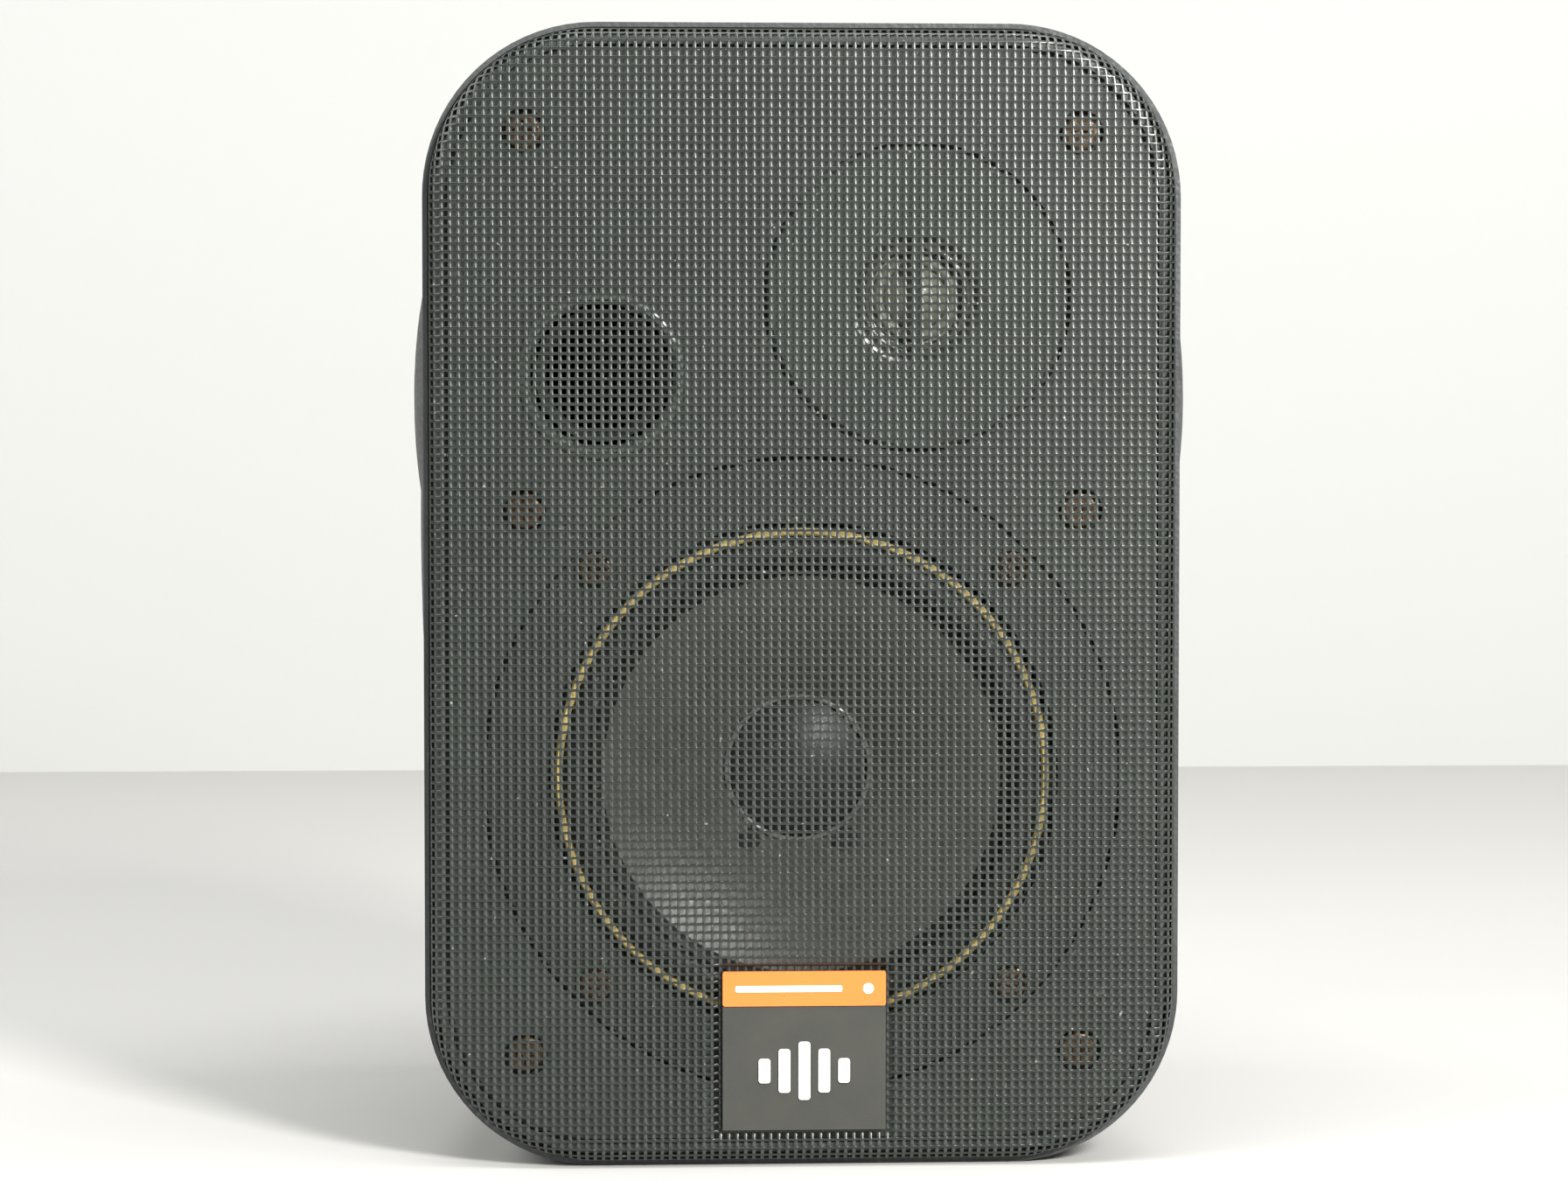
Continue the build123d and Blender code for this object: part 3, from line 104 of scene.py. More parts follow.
# ================================================================ material toolkit
class Recipe:
    """A node material under construction. Lengths in texture scales are features per metre."""

    def __init__(self, name):
        self.material = bpy.data.materials.new(name)
        self.material.use_nodes = True
        self.tree = self.material.node_tree
        self.nodes = self.tree.nodes
        self.shader = self.nodes["Principled BSDF"]
        self.place = self.nodes.new("ShaderNodeTexCoord").outputs["Object"]

    def link(self, output, socket):
        self.tree.links.new(output, socket)
        return self

    def noise(self, size, detail=3.0, roughness=0.55, stretch=None, distortion=0.0):
        """Noise whose features are about size metres across."""
        node = self.nodes.new("ShaderNodeTexNoise")
        node.inputs["Scale"].default_value = 1.0 / size
        node.inputs["Detail"].default_value = detail
        node.inputs["Roughness"].default_value = roughness
        node.inputs["Distortion"].default_value = distortion
        self.link(self.stretched(stretch), node.inputs["Vector"])
        return node.outputs["Fac"]

    def cells(self, size, stretch=None, feature="F1"):
        node = self.nodes.new("ShaderNodeTexVoronoi")
        node.feature = feature
        node.inputs["Scale"].default_value = 1.0 / size
        self.link(self.stretched(stretch), node.inputs["Vector"])
        return node.outputs["Distance"]

    def wave(self, pitch, direction="X", distortion=0.0, rings=False):
        """Bands of the given pitch along a direction, or rings about an axis."""
        node = self.nodes.new("ShaderNodeTexWave")
        node.wave_type = "RINGS" if rings else "BANDS"
        if rings:
            node.rings_direction = direction
        else:
            node.bands_direction = direction
        node.inputs["Scale"].default_value = math.pi / (10.0 * pitch)
        node.inputs["Distortion"].default_value = distortion
        node.inputs["Detail"].default_value = 1.0
        self.link(self.place, node.inputs["Vector"])
        return node.outputs["Fac"]

    def layer(self, name):
        """The two coordinates of a named UV layer."""
        node = self.nodes.new("ShaderNodeUVMap")
        node.uv_map = name
        split = self.nodes.new("ShaderNodeSeparateXYZ")
        self.link(node.outputs["UV"], split.inputs[0])
        return split.outputs[0], split.outputs[1]

    def stretched(self, stretch):
        if stretch is None:
            return self.place
        node = self.nodes.new("ShaderNodeVectorMath")
        node.operation = "MULTIPLY"
        node.inputs[1].default_value = stretch
        self.link(self.place, node.inputs[0])
        return node.outputs["Vector"]

    def moved(self, offset):
        """Texture coordinates measured from offset."""
        node = self.nodes.new("ShaderNodeVectorMath")
        node.operation = "SUBTRACT"
        node.inputs[1].default_value = offset
        self.link(self.place, node.inputs[0])
        self.place = node.outputs["Vector"]
        return self

    def curve(self, value, low, high, to_low=0.0, to_high=1.0, smooth=False):
        node = self.nodes.new("ShaderNodeMapRange")
        node.interpolation_type = "SMOOTHSTEP" if smooth else "LINEAR"
        node.inputs["From Min"].default_value = low
        node.inputs["From Max"].default_value = high
        node.inputs["To Min"].default_value = to_low
        node.inputs["To Max"].default_value = to_high
        self.link(value, node.inputs["Value"])
        return node.outputs["Result"]

    def maths(self, operation, first, second=None):
        node = self.nodes.new("ShaderNodeMath")
        node.operation = operation
        for socket, value in zip(node.inputs, (first, second)):
            if isinstance(value, (int, float)):
                socket.default_value = value
            elif value is not None:
                self.link(value, socket)
        return node.outputs[0]

    def mix(self, factor, first, second):
        """A colour between first and second; either may be a colour or an output."""
        node = self.nodes.new("ShaderNodeMix")
        node.data_type = "RGBA"
        sockets = [s for s in node.inputs if s.type == "RGBA"]
        for socket, value in zip(sockets, (first, second)):
            if isinstance(value, tuple):
                socket.default_value = (*value, 1.0)
            else:
                self.link(value, socket)
        factor_socket = [s for s in node.inputs if s.type == "VALUE"][0]
        if isinstance(factor, (int, float)):
            factor_socket.default_value = factor
        else:
            self.link(factor, factor_socket)
        return [s for s in node.outputs if s.type == "RGBA"][0]

    def colour(self, output):
        return self.link(output, self.shader.inputs["Base Color"])

    def roughness(self, output):
        return self.link(output, self.shader.inputs["Roughness"])

    def bump(self, height, depth, strength=1.0):
        """Adds bump of the given depth in metres, on top of any earlier bump."""
        node = self.nodes.new("ShaderNodeBump")
        node.inputs["Strength"].default_value = strength
        node.inputs["Distance"].default_value = depth
        self.link(height, node.inputs["Height"])
        normal = self.shader.inputs["Normal"]
        if normal.is_linked:
            self.link(normal.links[0].from_socket, node.inputs["Normal"])
        return self.link(node.outputs["Normal"], normal)

    def set(self, **values):
        """Constant shader values, by socket name with underscores for spaces."""
        for name, value in values.items():
            self.shader.inputs[name.replace("_", " ")].default_value = value
        return self


def shade(colour, factor):
    return tuple(min(1.0, c * factor) for c in colour)


def plastic(name, colour, rough, grain, grain_depth, mottle=0.18, dust=0.0, **values):
    """Moulded plastic or paint: a mottled colour, a grained surface, uneven gloss and a little dust."""
    recipe = Recipe(name)
    cloud = recipe.noise(0.02, 4.0)
    base = recipe.mix(recipe.curve(cloud, 0.3, 0.7), shade(colour, 1 - mottle), shade(colour, 1 + mottle))
    if dust:
        motes = recipe.curve(recipe.noise(0.0016, 2.0), 0.66, 0.76, 0.0, dust)
        base = recipe.mix(motes, base, (0.55, 0.54, 0.50))
    recipe.colour(base)
    recipe.roughness(recipe.curve(recipe.noise(0.006, 3.0), 0.3, 0.7, rough - 0.06, rough + 0.08))
    recipe.bump(recipe.noise(grain, 2.0), grain_depth)
    return recipe.set(**values).material


def metal(name, colour, rough, scratch_stretch=(1.0, 1.0, 14.0), tarnish=0.25, **values):
    """Bare or plated metal with fine directional scratches and patches of tarnish."""
    recipe = Recipe(name)
    patches = recipe.curve(recipe.noise(0.006, 4.0), 0.42, 0.68, 0.0, 1.0, smooth=True)
    recipe.colour(recipe.mix(patches, colour, shade(colour, 1 - tarnish)))
    scratches = recipe.noise(0.0012, 3.0, stretch=scratch_stretch)
    recipe.roughness(recipe.curve(scratches, 0.3, 0.7, rough - 0.08, rough + 0.12))
    recipe.bump(scratches, 0.00001)
    return recipe.set(Metallic=1.0, **values).material


# ================================================================ materials of each slot
def grille_paint():
    """Satin grey-green paint on bars rounded both ways, painted paler as a highlight where each upright bar
    stands proudest.
    """
    recipe = Recipe("grille_paint")
    across, up = recipe.layer("cells")
    column = recipe.maths("COSINE", recipe.maths("MULTIPLY", across, 2 * math.pi))
    row = recipe.maths("COSINE", recipe.maths("MULTIPLY", up, 2 * math.pi))
    # Masks for the painted highlight on the middle of each upright bar.
    upright = recipe.curve(column, 0.15, 0.6, smooth=True)
    between = recipe.curve(row, 0.35, -0.55, smooth=True)
    crown = recipe.maths("MULTIPLY", upright, between)
    colour = (0.011, 0.015, 0.012)
    cloud = recipe.curve(recipe.noise(0.03, 3.0), 0.35, 0.65)
    base = recipe.mix(cloud, shade(colour, 0.85), shade(colour, 1.15))
    # Painted highlight: the crown of each upright bar is painted paler, in patches set by this noise.
    highlight_patches = recipe.curve(recipe.noise(0.012, 4.0), 0.3, 0.7, 0.3, 0.8)
    base = recipe.mix(recipe.maths("MULTIPLY", crown, highlight_patches), base, (0.055, 0.064, 0.055))
    dust = recipe.curve(recipe.noise(0.0011, 1.0), 0.74, 0.79, 0.0, 0.5)
    base = recipe.mix(dust, base, (0.42, 0.41, 0.38))
    recipe.colour(base)
    recipe.roughness(recipe.curve(recipe.noise(0.003, 3.0), 0.3, 0.7, 0.27, 0.35))
    upright_ridge = recipe.curve(column, -0.3, 1.0, smooth=True)
    level_ridge = recipe.curve(row, -0.3, 1.0, smooth=True)
    recipe.bump(recipe.maths("MAXIMUM", upright_ridge, level_ridge), 0.00012)
    recipe.bump(recipe.noise(0.00035, 2.0), 0.00002)
    return recipe.set(Coat_Weight=0.35, Coat_Roughness=0.24).material


def cabinet_plastic():
    """Foamed moulding with a fine leathery texture."""
    recipe = Recipe("cabinet_plastic")
    colour = (0.040, 0.043, 0.044)
    cloud = recipe.curve(recipe.noise(0.025, 5.0), 0.3, 0.7)
    base = recipe.mix(cloud, shade(colour, 0.8), shade(colour, 1.25))
    scuff_lines = recipe.noise(0.004, 4.0, stretch=(1.0, 0.22, 1.0), distortion=0.4)
    scuffs = recipe.curve(scuff_lines, 0.66, 0.75, 0.0, 0.35)
    base = recipe.mix(scuffs, base, (0.16, 0.16, 0.155))
    recipe.colour(base)
    pebbles = recipe.cells(0.0011)
    recipe.roughness(recipe.curve(pebbles, 0.0, 0.7, 0.42, 0.62))
    recipe.bump(pebbles, 0.00009)
    recipe.bump(recipe.noise(0.0004, 2.0), 0.00002)
    return recipe.material


def woofer_middle():
    return middle("woofer_basket").x, middle("woofer_basket").z


def cone_paper():
    """Coated pulp: fibres, faint rings from the mould, a soft shine."""
    recipe = Recipe("cone_paper")
    x, z = woofer_middle()
    recipe.moved((x, 0.0, z))
    fibres = recipe.noise(0.0012, 5.0, 0.65, distortion=0.8)
    recipe.colour(recipe.mix(recipe.curve(fibres, 0.3, 0.7), (0.058, 0.060, 0.054), (0.11, 0.113, 0.102)))
    recipe.roughness(recipe.curve(fibres, 0.3, 0.7, 0.30, 0.44))
    rings = recipe.wave(0.0021, "Y", 0.3, rings=True)
    recipe.bump(rings, 0.00003)
    recipe.bump(fibres, 0.00006)
    return recipe.material


def spider_cloth():
    recipe = Recipe("spider_cloth")
    weave = recipe.maths("MULTIPLY", recipe.wave(0.0007, "X"), recipe.wave(0.0007, "Z"))
    recipe.colour(recipe.mix(weave, (0.42, 0.30, 0.10), (0.74, 0.60, 0.30)))
    recipe.roughness(recipe.curve(weave, 0.0, 1.0, 0.85, 0.6))
    recipe.bump(weave, 0.00012)
    return recipe.set(Sheen_Weight=0.2).material


def wadding():
    recipe = Recipe("wadding")
    fibres = recipe.noise(0.0009, 8.0, 0.7, stretch=(1.0, 3.0, 1.0), distortion=1.6)
    recipe.colour(recipe.mix(recipe.curve(fibres, 0.3, 0.7), (0.58, 0.57, 0.54), (0.86, 0.86, 0.84)))
    recipe.roughness(recipe.curve(fibres, 0.3, 0.7, 0.8, 1.0))
    recipe.bump(fibres, 0.0005)
    return recipe.set(Sheen_Weight=0.4, Sheen_Roughness=0.5).material


def brown_steel():
    """Passivated steel with rust in patches."""
    recipe = Recipe("brown_steel")
    rust = recipe.curve(recipe.noise(0.0016, 5.0, 0.7), 0.45, 0.62, 0.0, 1.0, smooth=True)
    recipe.colour(recipe.mix(rust, (0.17, 0.125, 0.085), (0.09, 0.05, 0.03)))
    recipe.roughness(recipe.curve(rust, 0.0, 1.0, 0.34, 0.75))
    recipe.link(recipe.curve(rust, 0.0, 1.0, 1.0, 0.35), recipe.shader.inputs["Metallic"])
    recipe.bump(recipe.noise(0.0004, 3.0), 0.00005)
    return recipe.material


def copper_wire():
    """Enamelled turns lying side by side."""
    recipe = Recipe("copper_wire")
    turns = recipe.wave(0.0005, "Y", 0.15)
    recipe.colour(recipe.mix(turns, (0.30, 0.10, 0.035), (0.80, 0.36, 0.16)))
    recipe.roughness(recipe.curve(turns, 0.0, 1.0, 0.45, 0.25))
    recipe.bump(turns, 0.0001)
    return recipe.set(Metallic=0.9, Coat_Weight=0.5, Coat_Roughness=0.2).material


def lead_braid():
    recipe = Recipe("lead_braid")
    plaits = recipe.wave(0.0006, "DIAGONAL", 0.2)
    recipe.colour(recipe.mix(plaits, (0.30, 0.14, 0.06), (0.80, 0.50, 0.30)))
    recipe.roughness(recipe.curve(plaits, 0.0, 1.0, 0.6, 0.35))
    recipe.bump(plaits, 0.0001)
    return recipe.set(Metallic=0.85).material


def ferrite():
    recipe = Recipe("ferrite")
    speckle = recipe.noise(0.0007, 6.0, 0.7)
    recipe.colour(recipe.mix(recipe.curve(speckle, 0.35, 0.65), (0.05, 0.05, 0.055), (0.13, 0.13, 0.14)))
    recipe.roughness(recipe.curve(speckle, 0.3, 0.7, 0.4, 0.6))
    recipe.bump(speckle, 0.00004)
    return recipe.material


def board_laminate():
    recipe = Recipe("board_laminate")
    sheet_fibres = recipe.noise(0.002, 5.0, stretch=(1.0, 1.0, 0.15))
    recipe.colour(recipe.mix(recipe.curve(sheet_fibres, 0.3, 0.7), (0.25, 0.14, 0.05), (0.42, 0.27, 0.12)))
    recipe.roughness(recipe.curve(sheet_fibres, 0.3, 0.7, 0.4, 0.55))
    recipe.bump(sheet_fibres, 0.00002)
    return recipe.material


def badge_grey():
    """Warm grey moulding with a fine spark-eroded grain."""
    recipe = Recipe("badge_grey")
    cloud = recipe.curve(recipe.noise(0.01, 4.0), 0.3, 0.7)
    recipe.colour(recipe.mix(cloud, (0.036, 0.037, 0.031), (0.044, 0.044, 0.037)))
    grain = recipe.noise(0.0003, 3.0, 0.6)
    recipe.roughness(recipe.curve(grain, 0.3, 0.7, 0.42, 0.6))
    recipe.bump(grain, 0.00003)
    return recipe.material


def lamp_glass():
    recipe = Recipe("lamp_glass")
    haze = recipe.noise(0.003, 3.0)
    recipe.roughness(recipe.curve(haze, 0.3, 0.7, 0.02, 0.12))
    recipe.colour(recipe.mix(haze, (0.9, 0.93, 0.9), (0.98, 0.98, 0.97)))
    return recipe.set(Transmission_Weight=0.9, IOR=1.47).material


SLOT_MATERIALS = {
    "cabinet_plastic": cabinet_plastic(),
    "baffle_plastic": plastic("baffle_plastic", (0.050, 0.057, 0.051), 0.42, 0.0005, 0.00003, dust=0.2),
    "seal_foam": plastic("seal_foam", (0.03, 0.03, 0.03), 0.85, 0.0006, 0.0002, 0.3),
    "brown_steel": brown_steel(),
    "grille_paint": grille_paint(),
    "badge_grey": badge_grey(),
    "badge_orange": plastic(
        "badge_orange", (0.88, 0.20, 0.03), 0.33, 0.0004, 0.00001, 0.05, Coat_Weight=0.3
    ),
    "badge_white": plastic("badge_white", (0.86, 0.85, 0.80), 0.35, 0.0004, 0.00001, 0.03, Coat_Weight=0.2),
    "frame_paint": plastic("frame_paint", (0.022, 0.025, 0.022), 0.5, 0.0006, 0.00004, 0.2, dust=0.15),
    "bead_adhesive": plastic("bead_adhesive", (0.70, 0.54, 0.20), 0.4, 0.0009, 0.0002, 0.25),
    "surround_rubber": plastic(
        "surround_rubber", (0.006, 0.007, 0.006), 0.6, 0.0005, 0.00004, 0.25, dust=0.2
    ),
    "cone_paper": cone_paper(),
    "cap_paper": plastic("cap_paper", (0.016, 0.0175, 0.016), 0.42, 0.0007, 0.00005, 0.25, dust=0.2),
    "dab_adhesive": plastic("dab_adhesive", (0.015, 0.015, 0.014), 0.25, 0.001, 0.0001, 0.3),
    "former_foil": metal("former_foil", (0.80, 0.80, 0.81), 0.3),
    "copper_wire": copper_wire(),
    "spider_cloth": spider_cloth(),
    "plated_steel": metal("plated_steel", (0.62, 0.62, 0.60), 0.35),
    "ferrite": ferrite(),
    "fibre_board": plastic("fibre_board", (0.20, 0.11, 0.05), 0.6, 0.0008, 0.00005, 0.25),
    "tag_metal": metal("tag_metal", (0.78, 0.70, 0.50), 0.3),
    "lead_braid": lead_braid(),
    "tweeter_plastic": plastic(
        "tweeter_plastic", (0.062, 0.070, 0.062), 0.24, 0.0007, 0.00002, 0.15, dust=0.1
    ),
    "dome_film": plastic("dome_film", (0.20, 0.20, 0.155), 0.5, 0.0005, 0.00001, 0.12, Coat_Weight=0.15),
    "board_laminate": board_laminate(),
    "capacitor_sleeve": plastic("capacitor_sleeve", (0.03, 0.06, 0.22), 0.25, 0.001, 0.00003, 0.15),
    "resistor_cement": plastic("resistor_cement", (0.80, 0.79, 0.74), 0.8, 0.0005, 0.0001, 0.1),
    "lamp_glass": lamp_glass(),
    "terminal_plastic": plastic(
        "terminal_plastic", (0.032, 0.034, 0.034), 0.42, 0.0006, 0.00004, 0.2, dust=0.2
    ),
    "lever_red": plastic("lever_red", (0.55, 0.022, 0.018), 0.3, 0.0006, 0.00002, 0.12),
    "lever_black": plastic("lever_black", (0.022, 0.022, 0.023), 0.3, 0.0006, 0.00002, 0.2),
    "spring_steel": metal("spring_steel", (0.70, 0.70, 0.70), 0.22, tarnish=0.1),
    "insert_brass": metal("insert_brass", (0.80, 0.61, 0.28), 0.28),
    "wadding": wadding(),
    "wire_jacket": plastic("wire_jacket", (0.45, 0.035, 0.03), 0.35, 0.0012, 0.00003, 0.1),
}
for part in frame["record"]["subparts"]:
    paint(NODES[part["node"]], SLOT_MATERIALS[part["material_slot"]])


# ================================================================ grille
PITCH = 1.72 * MM
HOLE_WIDTH = 1.04 * MM
HOLE_HEIGHT = 1.14 * MM
SHEET = 0.72 * MM
WAIST = 0.15 * MM  # depth of a hole's narrowest part below the outer face
GRILLE_CORNER = 34.3 * MM
EDGE_ROLL = 3.0 * MM
FLANGE = 1.3 * MM  # how far the holes go on past the rolled edge
POCKET_DEPTH = 1.0 * MM
POCKET_MARGIN = 0.7 * MM
POCKET_SLOPE = 1.5 * MM


def wrapped(u, v, depth):
    """Points of the flat perforated sheet, folded over the grille's rounded edge.

    Depth is measured below the outer face.
    """
    low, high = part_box("grille")
    centre = (low + high) / 2
    half_width = (high.x - low.x) / 2 - EDGE_ROLL
    half_height = (high.z - low.z) / 2 - EDGE_ROLL
    corner = GRILLE_CORNER - EDGE_ROLL
    past_x = np.abs(u) - (half_width - corner)
    past_z = np.abs(v) - (half_height - corner)
    in_corner = (past_x > 0) & (past_z > 0)
    reach = np.maximum(np.hypot(past_x, past_z), 1e-9)
    normal_x = np.where(in_corner, past_x / reach, np.where(past_x > past_z, 1.0, 0.0)) * np.sign(u)
    normal_z = np.where(in_corner, past_z / reach, np.where(past_x > past_z, 0.0, 1.0)) * np.sign(v)
    outside = np.where(in_corner, reach, np.maximum(past_x, past_z)) - corner
    fold = np.maximum(outside, 0.0)
    angle = np.minimum(fold / EDGE_ROLL, math.pi / 2)
    straight = np.maximum(fold - EDGE_ROLL * math.pi / 2, 0.0)
    sideways = (EDGE_ROLL - depth) * np.sin(angle) - fold
    sideways = np.where(fold > 0, sideways, 0.0)
    x = centre.x + u + normal_x * sideways
    z = centre.z + v + normal_z * sideways
    y = low.y + EDGE_ROLL - (EDGE_ROLL - depth) * np.cos(angle) + straight
    badge_low, badge_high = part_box("badge_plate")
    badge = (badge_low + badge_high) / 2
    beyond_x = np.abs(x - badge.x) - (badge_high.x - badge_low.x) / 2 - POCKET_MARGIN
    beyond_z = np.abs(z - badge.z) - (badge_high.z - badge_low.z) / 2 - POCKET_MARGIN
    beyond = np.maximum(beyond_x, beyond_z)
    y = y + POCKET_DEPTH * smoothstep(1.0 - beyond / POCKET_SLOPE)
    return np.stack([x, y, z], axis=-1), outside


def perforated_grille():
    """Every bar of the sheet: a ridge in front, a ridge behind and the edges of the holes between."""
    low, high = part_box("grille")
    spare = EDGE_ROLL * (math.pi / 2 - 1) + FLANGE
    columns = 2 * math.ceil(((high.x - low.x) / 2 + spare) / PITCH)
    rows = 2 * math.ceil(((high.z - low.z) / 2 + spare) / PITCH)
    i, k = np.meshgrid(np.arange(columns + 1), np.arange(rows + 1), indexing="ij")
    u = (i - columns / 2) * PITCH
    v = (k - rows / 2) * PITCH
    cell_u = u[:-1, :-1] + PITCH / 2
    cell_v = v[:-1, :-1] + PITCH / 2
    _, outside = wrapped(cell_u, cell_v, 0.0)
    kept = outside < EDGE_ROLL * math.pi / 2 + FLANGE
    front, _ = wrapped(u, v, 0.0)
    back, _ = wrapped(u, v, SHEET)
    corner_steps = [(-1, -1), (1, -1), (1, 1), (-1, 1)]
    holes = [
        wrapped(cell_u + a * HOLE_WIDTH / 2, cell_v + b * HOLE_HEIGHT / 2, WAIST)[0]
        for a, b in corner_steps
    ]
    crossings = u.size
    cells = cell_u.size
    vertices = np.concatenate([points.reshape(-1, 3) for points in (front, back, *holes)])
    flat = np.stack([u, v], axis=-1).reshape(-1, 2)
    hole_half = np.array([HOLE_WIDTH, HOLE_HEIGHT]) / 2
    middles = np.stack([cell_u, cell_v], axis=-1).reshape(-1, 2)
    lattice = np.concatenate([flat, flat] + [middles + np.array(step) * hole_half for step in corner_steps])
    ci, ck = np.nonzero(kept)
    crossing_steps = [(0, 0), (1, 0), (1, 1), (0, 1)]
    front_at = [(ci + a) * (rows + 1) + ck + b for a, b in crossing_steps]
    back_at = [f + crossings for f in front_at]
    hole_at = [2 * crossings + n * cells + ci * rows + ck for n in range(4)]
    faces = []
    for n in range(4):
        m = (n + 1) % 4
        faces.append(np.stack([front_at[n], front_at[m], hole_at[m], hole_at[n]], axis=-1))
        faces.append(np.stack([back_at[m], back_at[n], hole_at[n], hole_at[m]], axis=-1))
    steps = [(0, -1), (1, 0), (0, 1), (-1, 0)]
    padded = np.pad(kept, 1)
    for n, (a, b) in enumerate(steps):
        m = (n + 1) % 4
        edge = ~padded[ci + 1 + a, ck + 1 + b]
        rim = np.stack([front_at[m][edge], front_at[n][edge], back_at[n][edge], back_at[m][edge]], axis=-1)
        faces.append(rim)
    faces = np.concatenate(faces)
    used = np.unique(faces)
    renumber = np.zeros(len(vertices), int)
    renumber[used] = np.arange(len(used))
    piece = mesh_piece("perforated_grille", vertices[used], renumber[faces])
    on_hole = used >= 2 * crossings
    ends = np.array([edge.vertices[:] for edge in piece.data.edges])
    creases = piece.data.attributes.new("sharp_edge", "BOOLEAN", "EDGE")
    creases.data.foreach_set("value", on_hole[ends].all(axis=1))
    cells_layer = piece.data.uv_layers.new(name="cells")
    cells_layer.data.foreach_set("uv", (lattice[faces.reshape(-1)] / PITCH).astype(np.float32).ravel())
    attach(piece, "grille_assembly")
    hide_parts("grille")
    return paint(piece, SLOT_MATERIALS["grille_paint"])


perforated_grille()


# ================================================================ woofer surround
def ring_of_profile(name, profile, segments, middle_point=None):
    """A ring from a closed profile of (radius, y) points, turned about the woofer's or another axis."""
    x, z = middle_point or woofer_middle()
    vertices = []
    for s in range(segments):
        turn = 2 * math.pi * s / segments
        vertices += [(x + r * math.sin(turn), y, z + r * math.cos(turn)) for r, y in profile]
    count = len(profile)
    faces = []
    for s in range(segments):
        after = (s + 1) % segments
        for p in range(count):
            q = (p + 1) % count
            faces.append((s * count + p, s * count + q, after * count + q, after * count + p))
    return mesh_piece(name, vertices, faces)


def rubber_surround():
    """The half roll, with its lips, which bends from the frame to the cone."""
    low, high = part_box("woofer_surround")
    skin = 0.5 * MM
    outer_lip = (high.x - low.x) / 2
    lip_inner = 41.3 * MM
    roll_middle = 46.5 * MM
    roll = 3.0 * MM
    rise = 1.9 * MM  # low enough to stay behind the grille at full excursion
    crown_base = low.y + roll
    lip_face = high.y - skin
    outside = [
        (outer_lip, crown_base + skin),
        (outer_lip, crown_base),
        (roll_middle + roll + 0.25 * MM, crown_base),
    ]
    steps = 14
    for n in range(steps + 1):
        a = math.pi * n / steps
        outside.append((roll_middle + roll * math.cos(a), crown_base - rise * math.sin(a)))
    outside += [(roll_middle - roll, lip_face - 0.3 * MM), (roll_middle - roll - 0.3 * MM, lip_face)]
    outside += [(lip_inner, lip_face), (lip_inner, high.y)]
    inside = [(roll_middle - roll + skin, high.y)]
    for n in range(steps, -1, -1):
        a = math.pi * n / steps
        inside.append((roll_middle + (roll - skin) * math.cos(a), crown_base - (rise - skin) * math.sin(a)))
    inside.append((roll_middle + roll - skin, crown_base + skin))
    piece = ring_of_profile("rubber_surround", outside + inside, 128)
    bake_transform(piece)
    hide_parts("woofer_surround")
    return paint(piece, SLOT_MATERIALS["surround_rubber"])


rubber_surround()


# ================================================================ woofer leads
def flexing_leads():
    """The braided leads from the cone's dabs to the tag strip, copied from the CAD leads."""
    rigid = NODES["woofer_leads"]
    piece = bpy.data.objects.new("flexing_leads", rigid.data.copy())
    bpy.context.scene.collection.objects.link(piece)
    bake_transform(piece)
    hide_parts("woofer_leads")
    return paint(piece, SLOT_MATERIALS["lead_braid"])


flexing_leads()


# ================================================================ lip of the tweeter's throat
def throat_lip():
    """The rounded, glossy edge where the tweeter's mouth steps down to the diaphragm."""
    low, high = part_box("tweeter_faceplate")
    centre = (low + high) / 2
    radius = 10.5 * MM
    depth = low.y + 2.5 * MM
    round_over = 0.5 * MM
    steps = 10
    profile = []
    for n in range(steps):
        a = 2 * math.pi * n / steps
        profile.append((radius + round_over * math.cos(a), depth + round_over * math.sin(a)))
    piece = ring_of_profile("throat_lip", profile, 96, (centre.x, centre.z))
    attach(piece, "cabinet")
    gloss = plastic("lip_gloss", (0.10, 0.105, 0.095), 0.10, 0.0009, 0.00002, 0.2, Coat_Weight=0.8)
    return paint(piece, gloss)


throat_lip()


# ================================================================ adhesive round the dust cap
def cap_adhesive():
    """The shiny fillet of lacquer where the dust cap meets the cone."""
    low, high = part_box("dust_cap")
    radius = (high.x - low.x) / 2
    fillet = 0.55 * MM
    outset = 0.1 * MM  # how far the line's middle lies outside the cap's edge
    depth = high.y - 0.75 * MM
    steps = 8
    profile = []
    for n in range(steps):
        a = 2 * math.pi * n / steps
        profile.append((radius + outset + fillet * math.cos(a), depth + fillet * math.sin(a)))
    piece = ring_of_profile("cap_adhesive", profile, 96)
    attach(piece, "cone_assembly")
    lacquer = plastic("cap_lacquer", (0.16, 0.16, 0.15), 0.18, 0.0011, 0.00005, 0.3, Coat_Weight=0.6)
    return paint(piece, lacquer)


cap_adhesive()


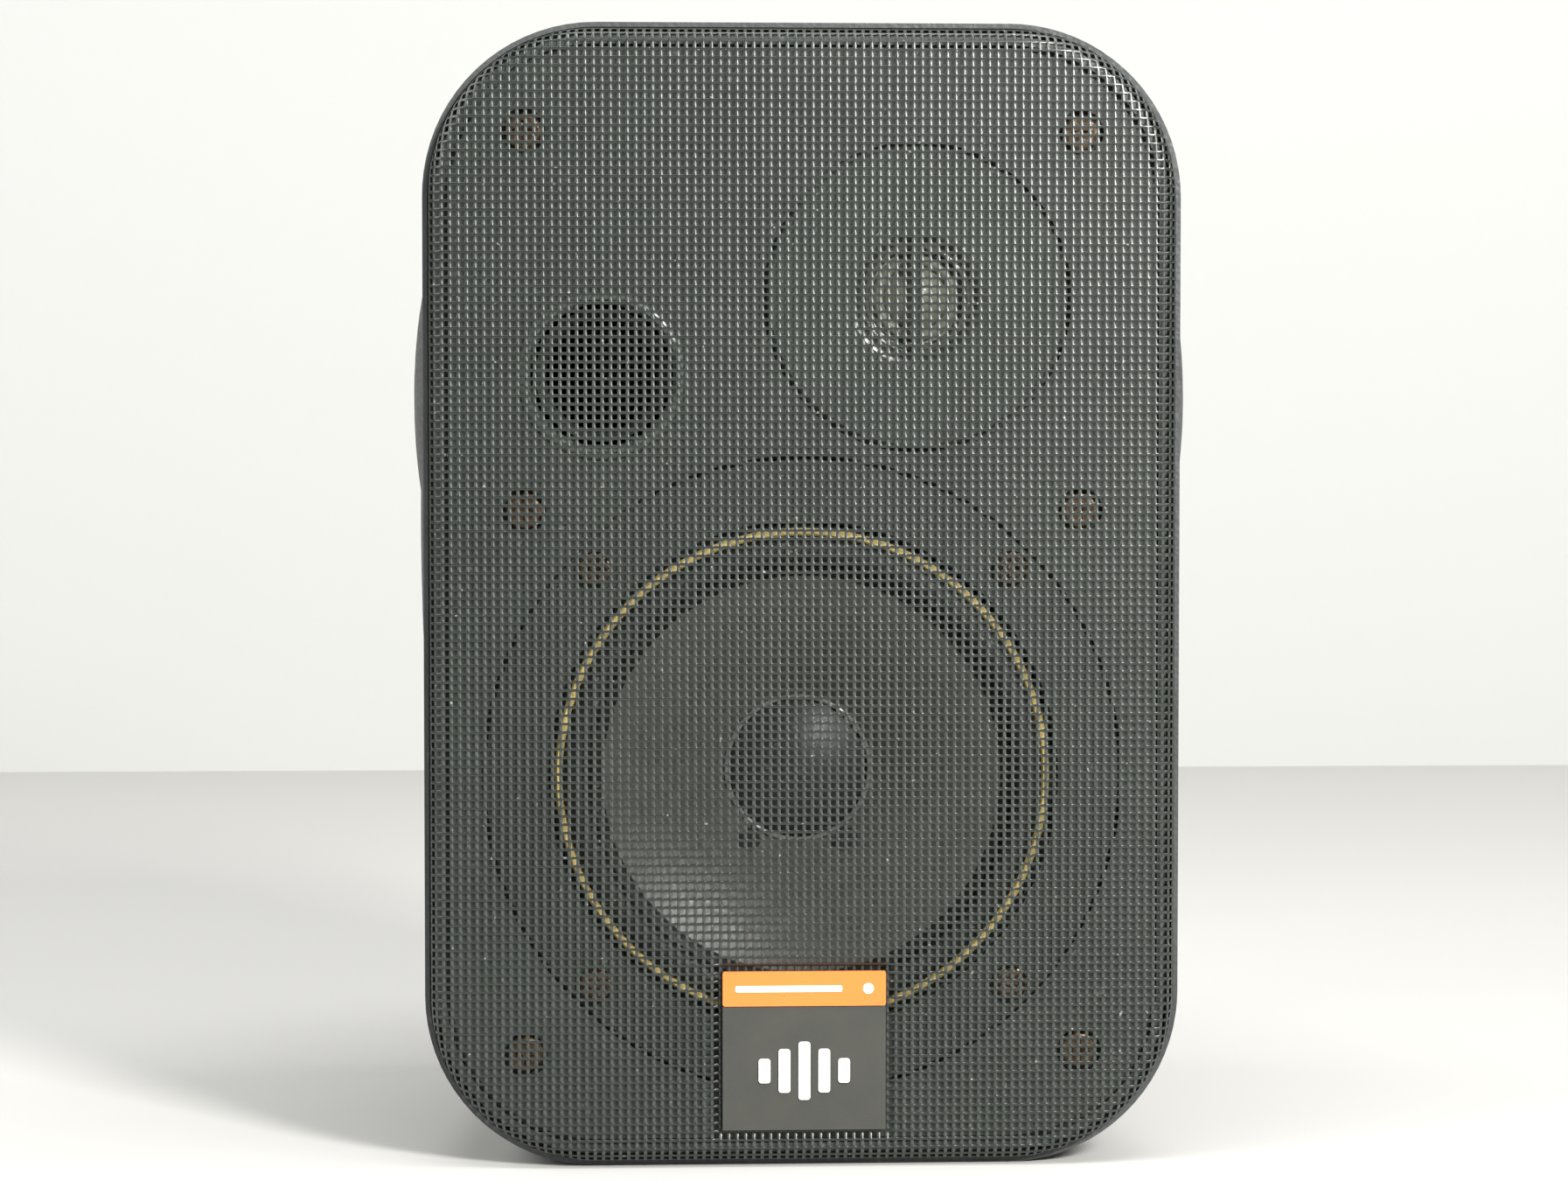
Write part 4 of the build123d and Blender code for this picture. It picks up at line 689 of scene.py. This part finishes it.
# ================================================================ wadding
def wadding_pad():
    """A tuft of polyester wadding, lumpy and pulled in at its corners."""
    low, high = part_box("damping_pad")
    centre = (low + high) / 2
    half = (high - low) / 2
    mesh = bmesh.new()
    bmesh.ops.create_cube(mesh, size=2.0)
    bmesh.ops.subdivide_edges(mesh, edges=mesh.edges[:], cuts=23, use_grid_fill=True)
    for vertex in mesh.verts:
        p = vertex.co
        pull = 1.0 - 0.07 * (p.x * p.x * p.z * p.z)
        crown = 1.0 - 0.45 * max(abs(p.x), abs(p.z)) ** 4
        lumps = math.sin(5.1 * p.x + 1.3) * math.cos(4.3 * p.z - 0.4)
        lumps += 0.5 * math.sin(11.0 * p.x * p.z + 2.0)
        rise = crown * (0.86 + 0.07 * lumps)
        spread = 0.97 * pull
        shaped = Vector((half.x * spread * p.x, half.y * rise * p.y, half.z * spread * p.z))
        vertex.co = shaped + centre
    data = bpy.data.meshes.new("wadding_pad")
    mesh.to_mesh(data)
    mesh.free()
    data.shade_smooth()
    piece = bpy.data.objects.new("wadding_pad", data)
    bpy.context.scene.collection.objects.link(piece)
    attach(piece, "cabinet")
    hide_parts("damping_pad")
    return paint(piece, SLOT_MATERIALS["wadding"])


wadding_pad()


# ================================================================ stage, lights and camera
def stage_material(name, colour, rough):
    recipe = Recipe(name)
    cloud = recipe.noise(0.35, 3.0)
    recipe.colour(recipe.mix(cloud, shade(colour, 0.985), shade(colour, 1.01)))
    recipe.roughness(recipe.curve(cloud, 0.3, 0.7, rough - 0.05, rough))
    return recipe.material


def stage():
    """A pale table top and a pale wall a little way behind it."""
    wall_y = 0.86
    wall_height = 5.0
    front_y = -4.0
    reach = 6.0
    floor = mesh_piece(
        "floor",
        [(-reach, front_y, 0), (reach, front_y, 0), (reach, wall_y, 0), (-reach, wall_y, 0)],
        [(0, 1, 2, 3)],
    )
    paint(floor, stage_material("pale_floor", (0.49, 0.485, 0.468), 0.95))
    wall = mesh_piece(
        "backdrop",
        [
            (-reach, wall_y, 0),
            (reach, wall_y, 0),
            (reach, wall_y, wall_height),
            (-reach, wall_y, wall_height),
        ],
        [(0, 1, 2, 3)],
    )
    paint(wall, stage_material("pale_wall", (0.56, 0.56, 0.545), 0.95))


def area_light(name, place, target, size, power, colour=(1, 1, 1)):
    data = bpy.data.lights.new(name, "AREA")
    data.shape = "RECTANGLE"
    data.size, data.size_y = size
    data.energy = power
    data.color = colour
    lamp = bpy.data.objects.new(name, data)
    lamp.location = place
    lamp.rotation_euler = (Vector(target) - Vector(place)).to_track_quat("-Z", "Y").to_euler()
    bpy.context.scene.collection.objects.link(lamp)


def lights():
    """Soft lights from the upper right and left, one from above, and two for the wall and the floor."""
    target = (0, 0, 0.12)
    upper_right = (0.06, -0.07, 0.20)
    area_light("lamp_near", (0.30, -0.62, 0.42), upper_right, (0.12, 0.12), 4.2, (1.0, 0.99, 0.96))
    area_light("window_right", (0.66, -1.20, 0.76), target, (0.28, 0.28), 23, (1.0, 0.995, 0.97))
    area_light("window_left", (-0.80, -0.55, 0.55), target, (0.35, 0.6), 4.5, (0.98, 1.0, 0.98))
    area_light("ceiling", (0.0, -0.35, 1.25), target, (0.9, 0.3), 10)
    area_light("floor_fill", (-1.0, 0.15, 0.9), (-0.45, 0.15, 0.0), (0.7, 0.7), 6)
    area_light("wall_wash", (0.9, 0.1, 1.2), (0.5, 0.86, 0.3), (1.2, 0.6), 10)
    world = bpy.data.worlds.new("studio")
    world.use_nodes = True
    world.node_tree.nodes["Background"].inputs["Color"].default_value = (0.96, 0.98, 1.0, 1.0)
    world.node_tree.nodes["Background"].inputs["Strength"].default_value = 0.22
    bpy.context.scene.world = world


CAMERA_DISTANCE = 0.85
CAMERA_AZIMUTH = -3.0  # degrees; negative stands to the left
CAMERA_RISE = 2.6  # degrees above the level
FRAME_WIDTH_AT_GRILLE = 0.3208
AIM_OFFSET = (-0.0042, 0.0015)


def camera():
    """A long lens in front of the grille, a little to the left and a little above."""
    data = bpy.data.cameras.new("camera")
    data.sensor_width = 36.0
    data.lens = data.sensor_width * CAMERA_DISTANCE / FRAME_WIDTH_AT_GRILLE
    data.clip_start = 0.01
    eye = bpy.data.objects.new("camera", data)
    low, high = CAD_BOX
    aim = Vector(((low.x + high.x) / 2 + AIM_OFFSET[0], low.y, (low.z + high.z) / 2 + AIM_OFFSET[1]))
    azimuth, rise = math.radians(CAMERA_AZIMUTH), math.radians(CAMERA_RISE)
    away = Vector((math.sin(azimuth) * math.cos(rise), -math.cos(azimuth) * math.cos(rise), math.sin(rise)))
    eye.location = aim + away * CAMERA_DISTANCE
    eye.rotation_euler = (-away).to_track_quat("-Z", "Y").to_euler()
    bpy.context.scene.collection.objects.link(eye)
    bpy.context.scene.camera = eye


stage()
lights()
camera()
bpy.context.scene.view_settings.view_transform = "Standard"
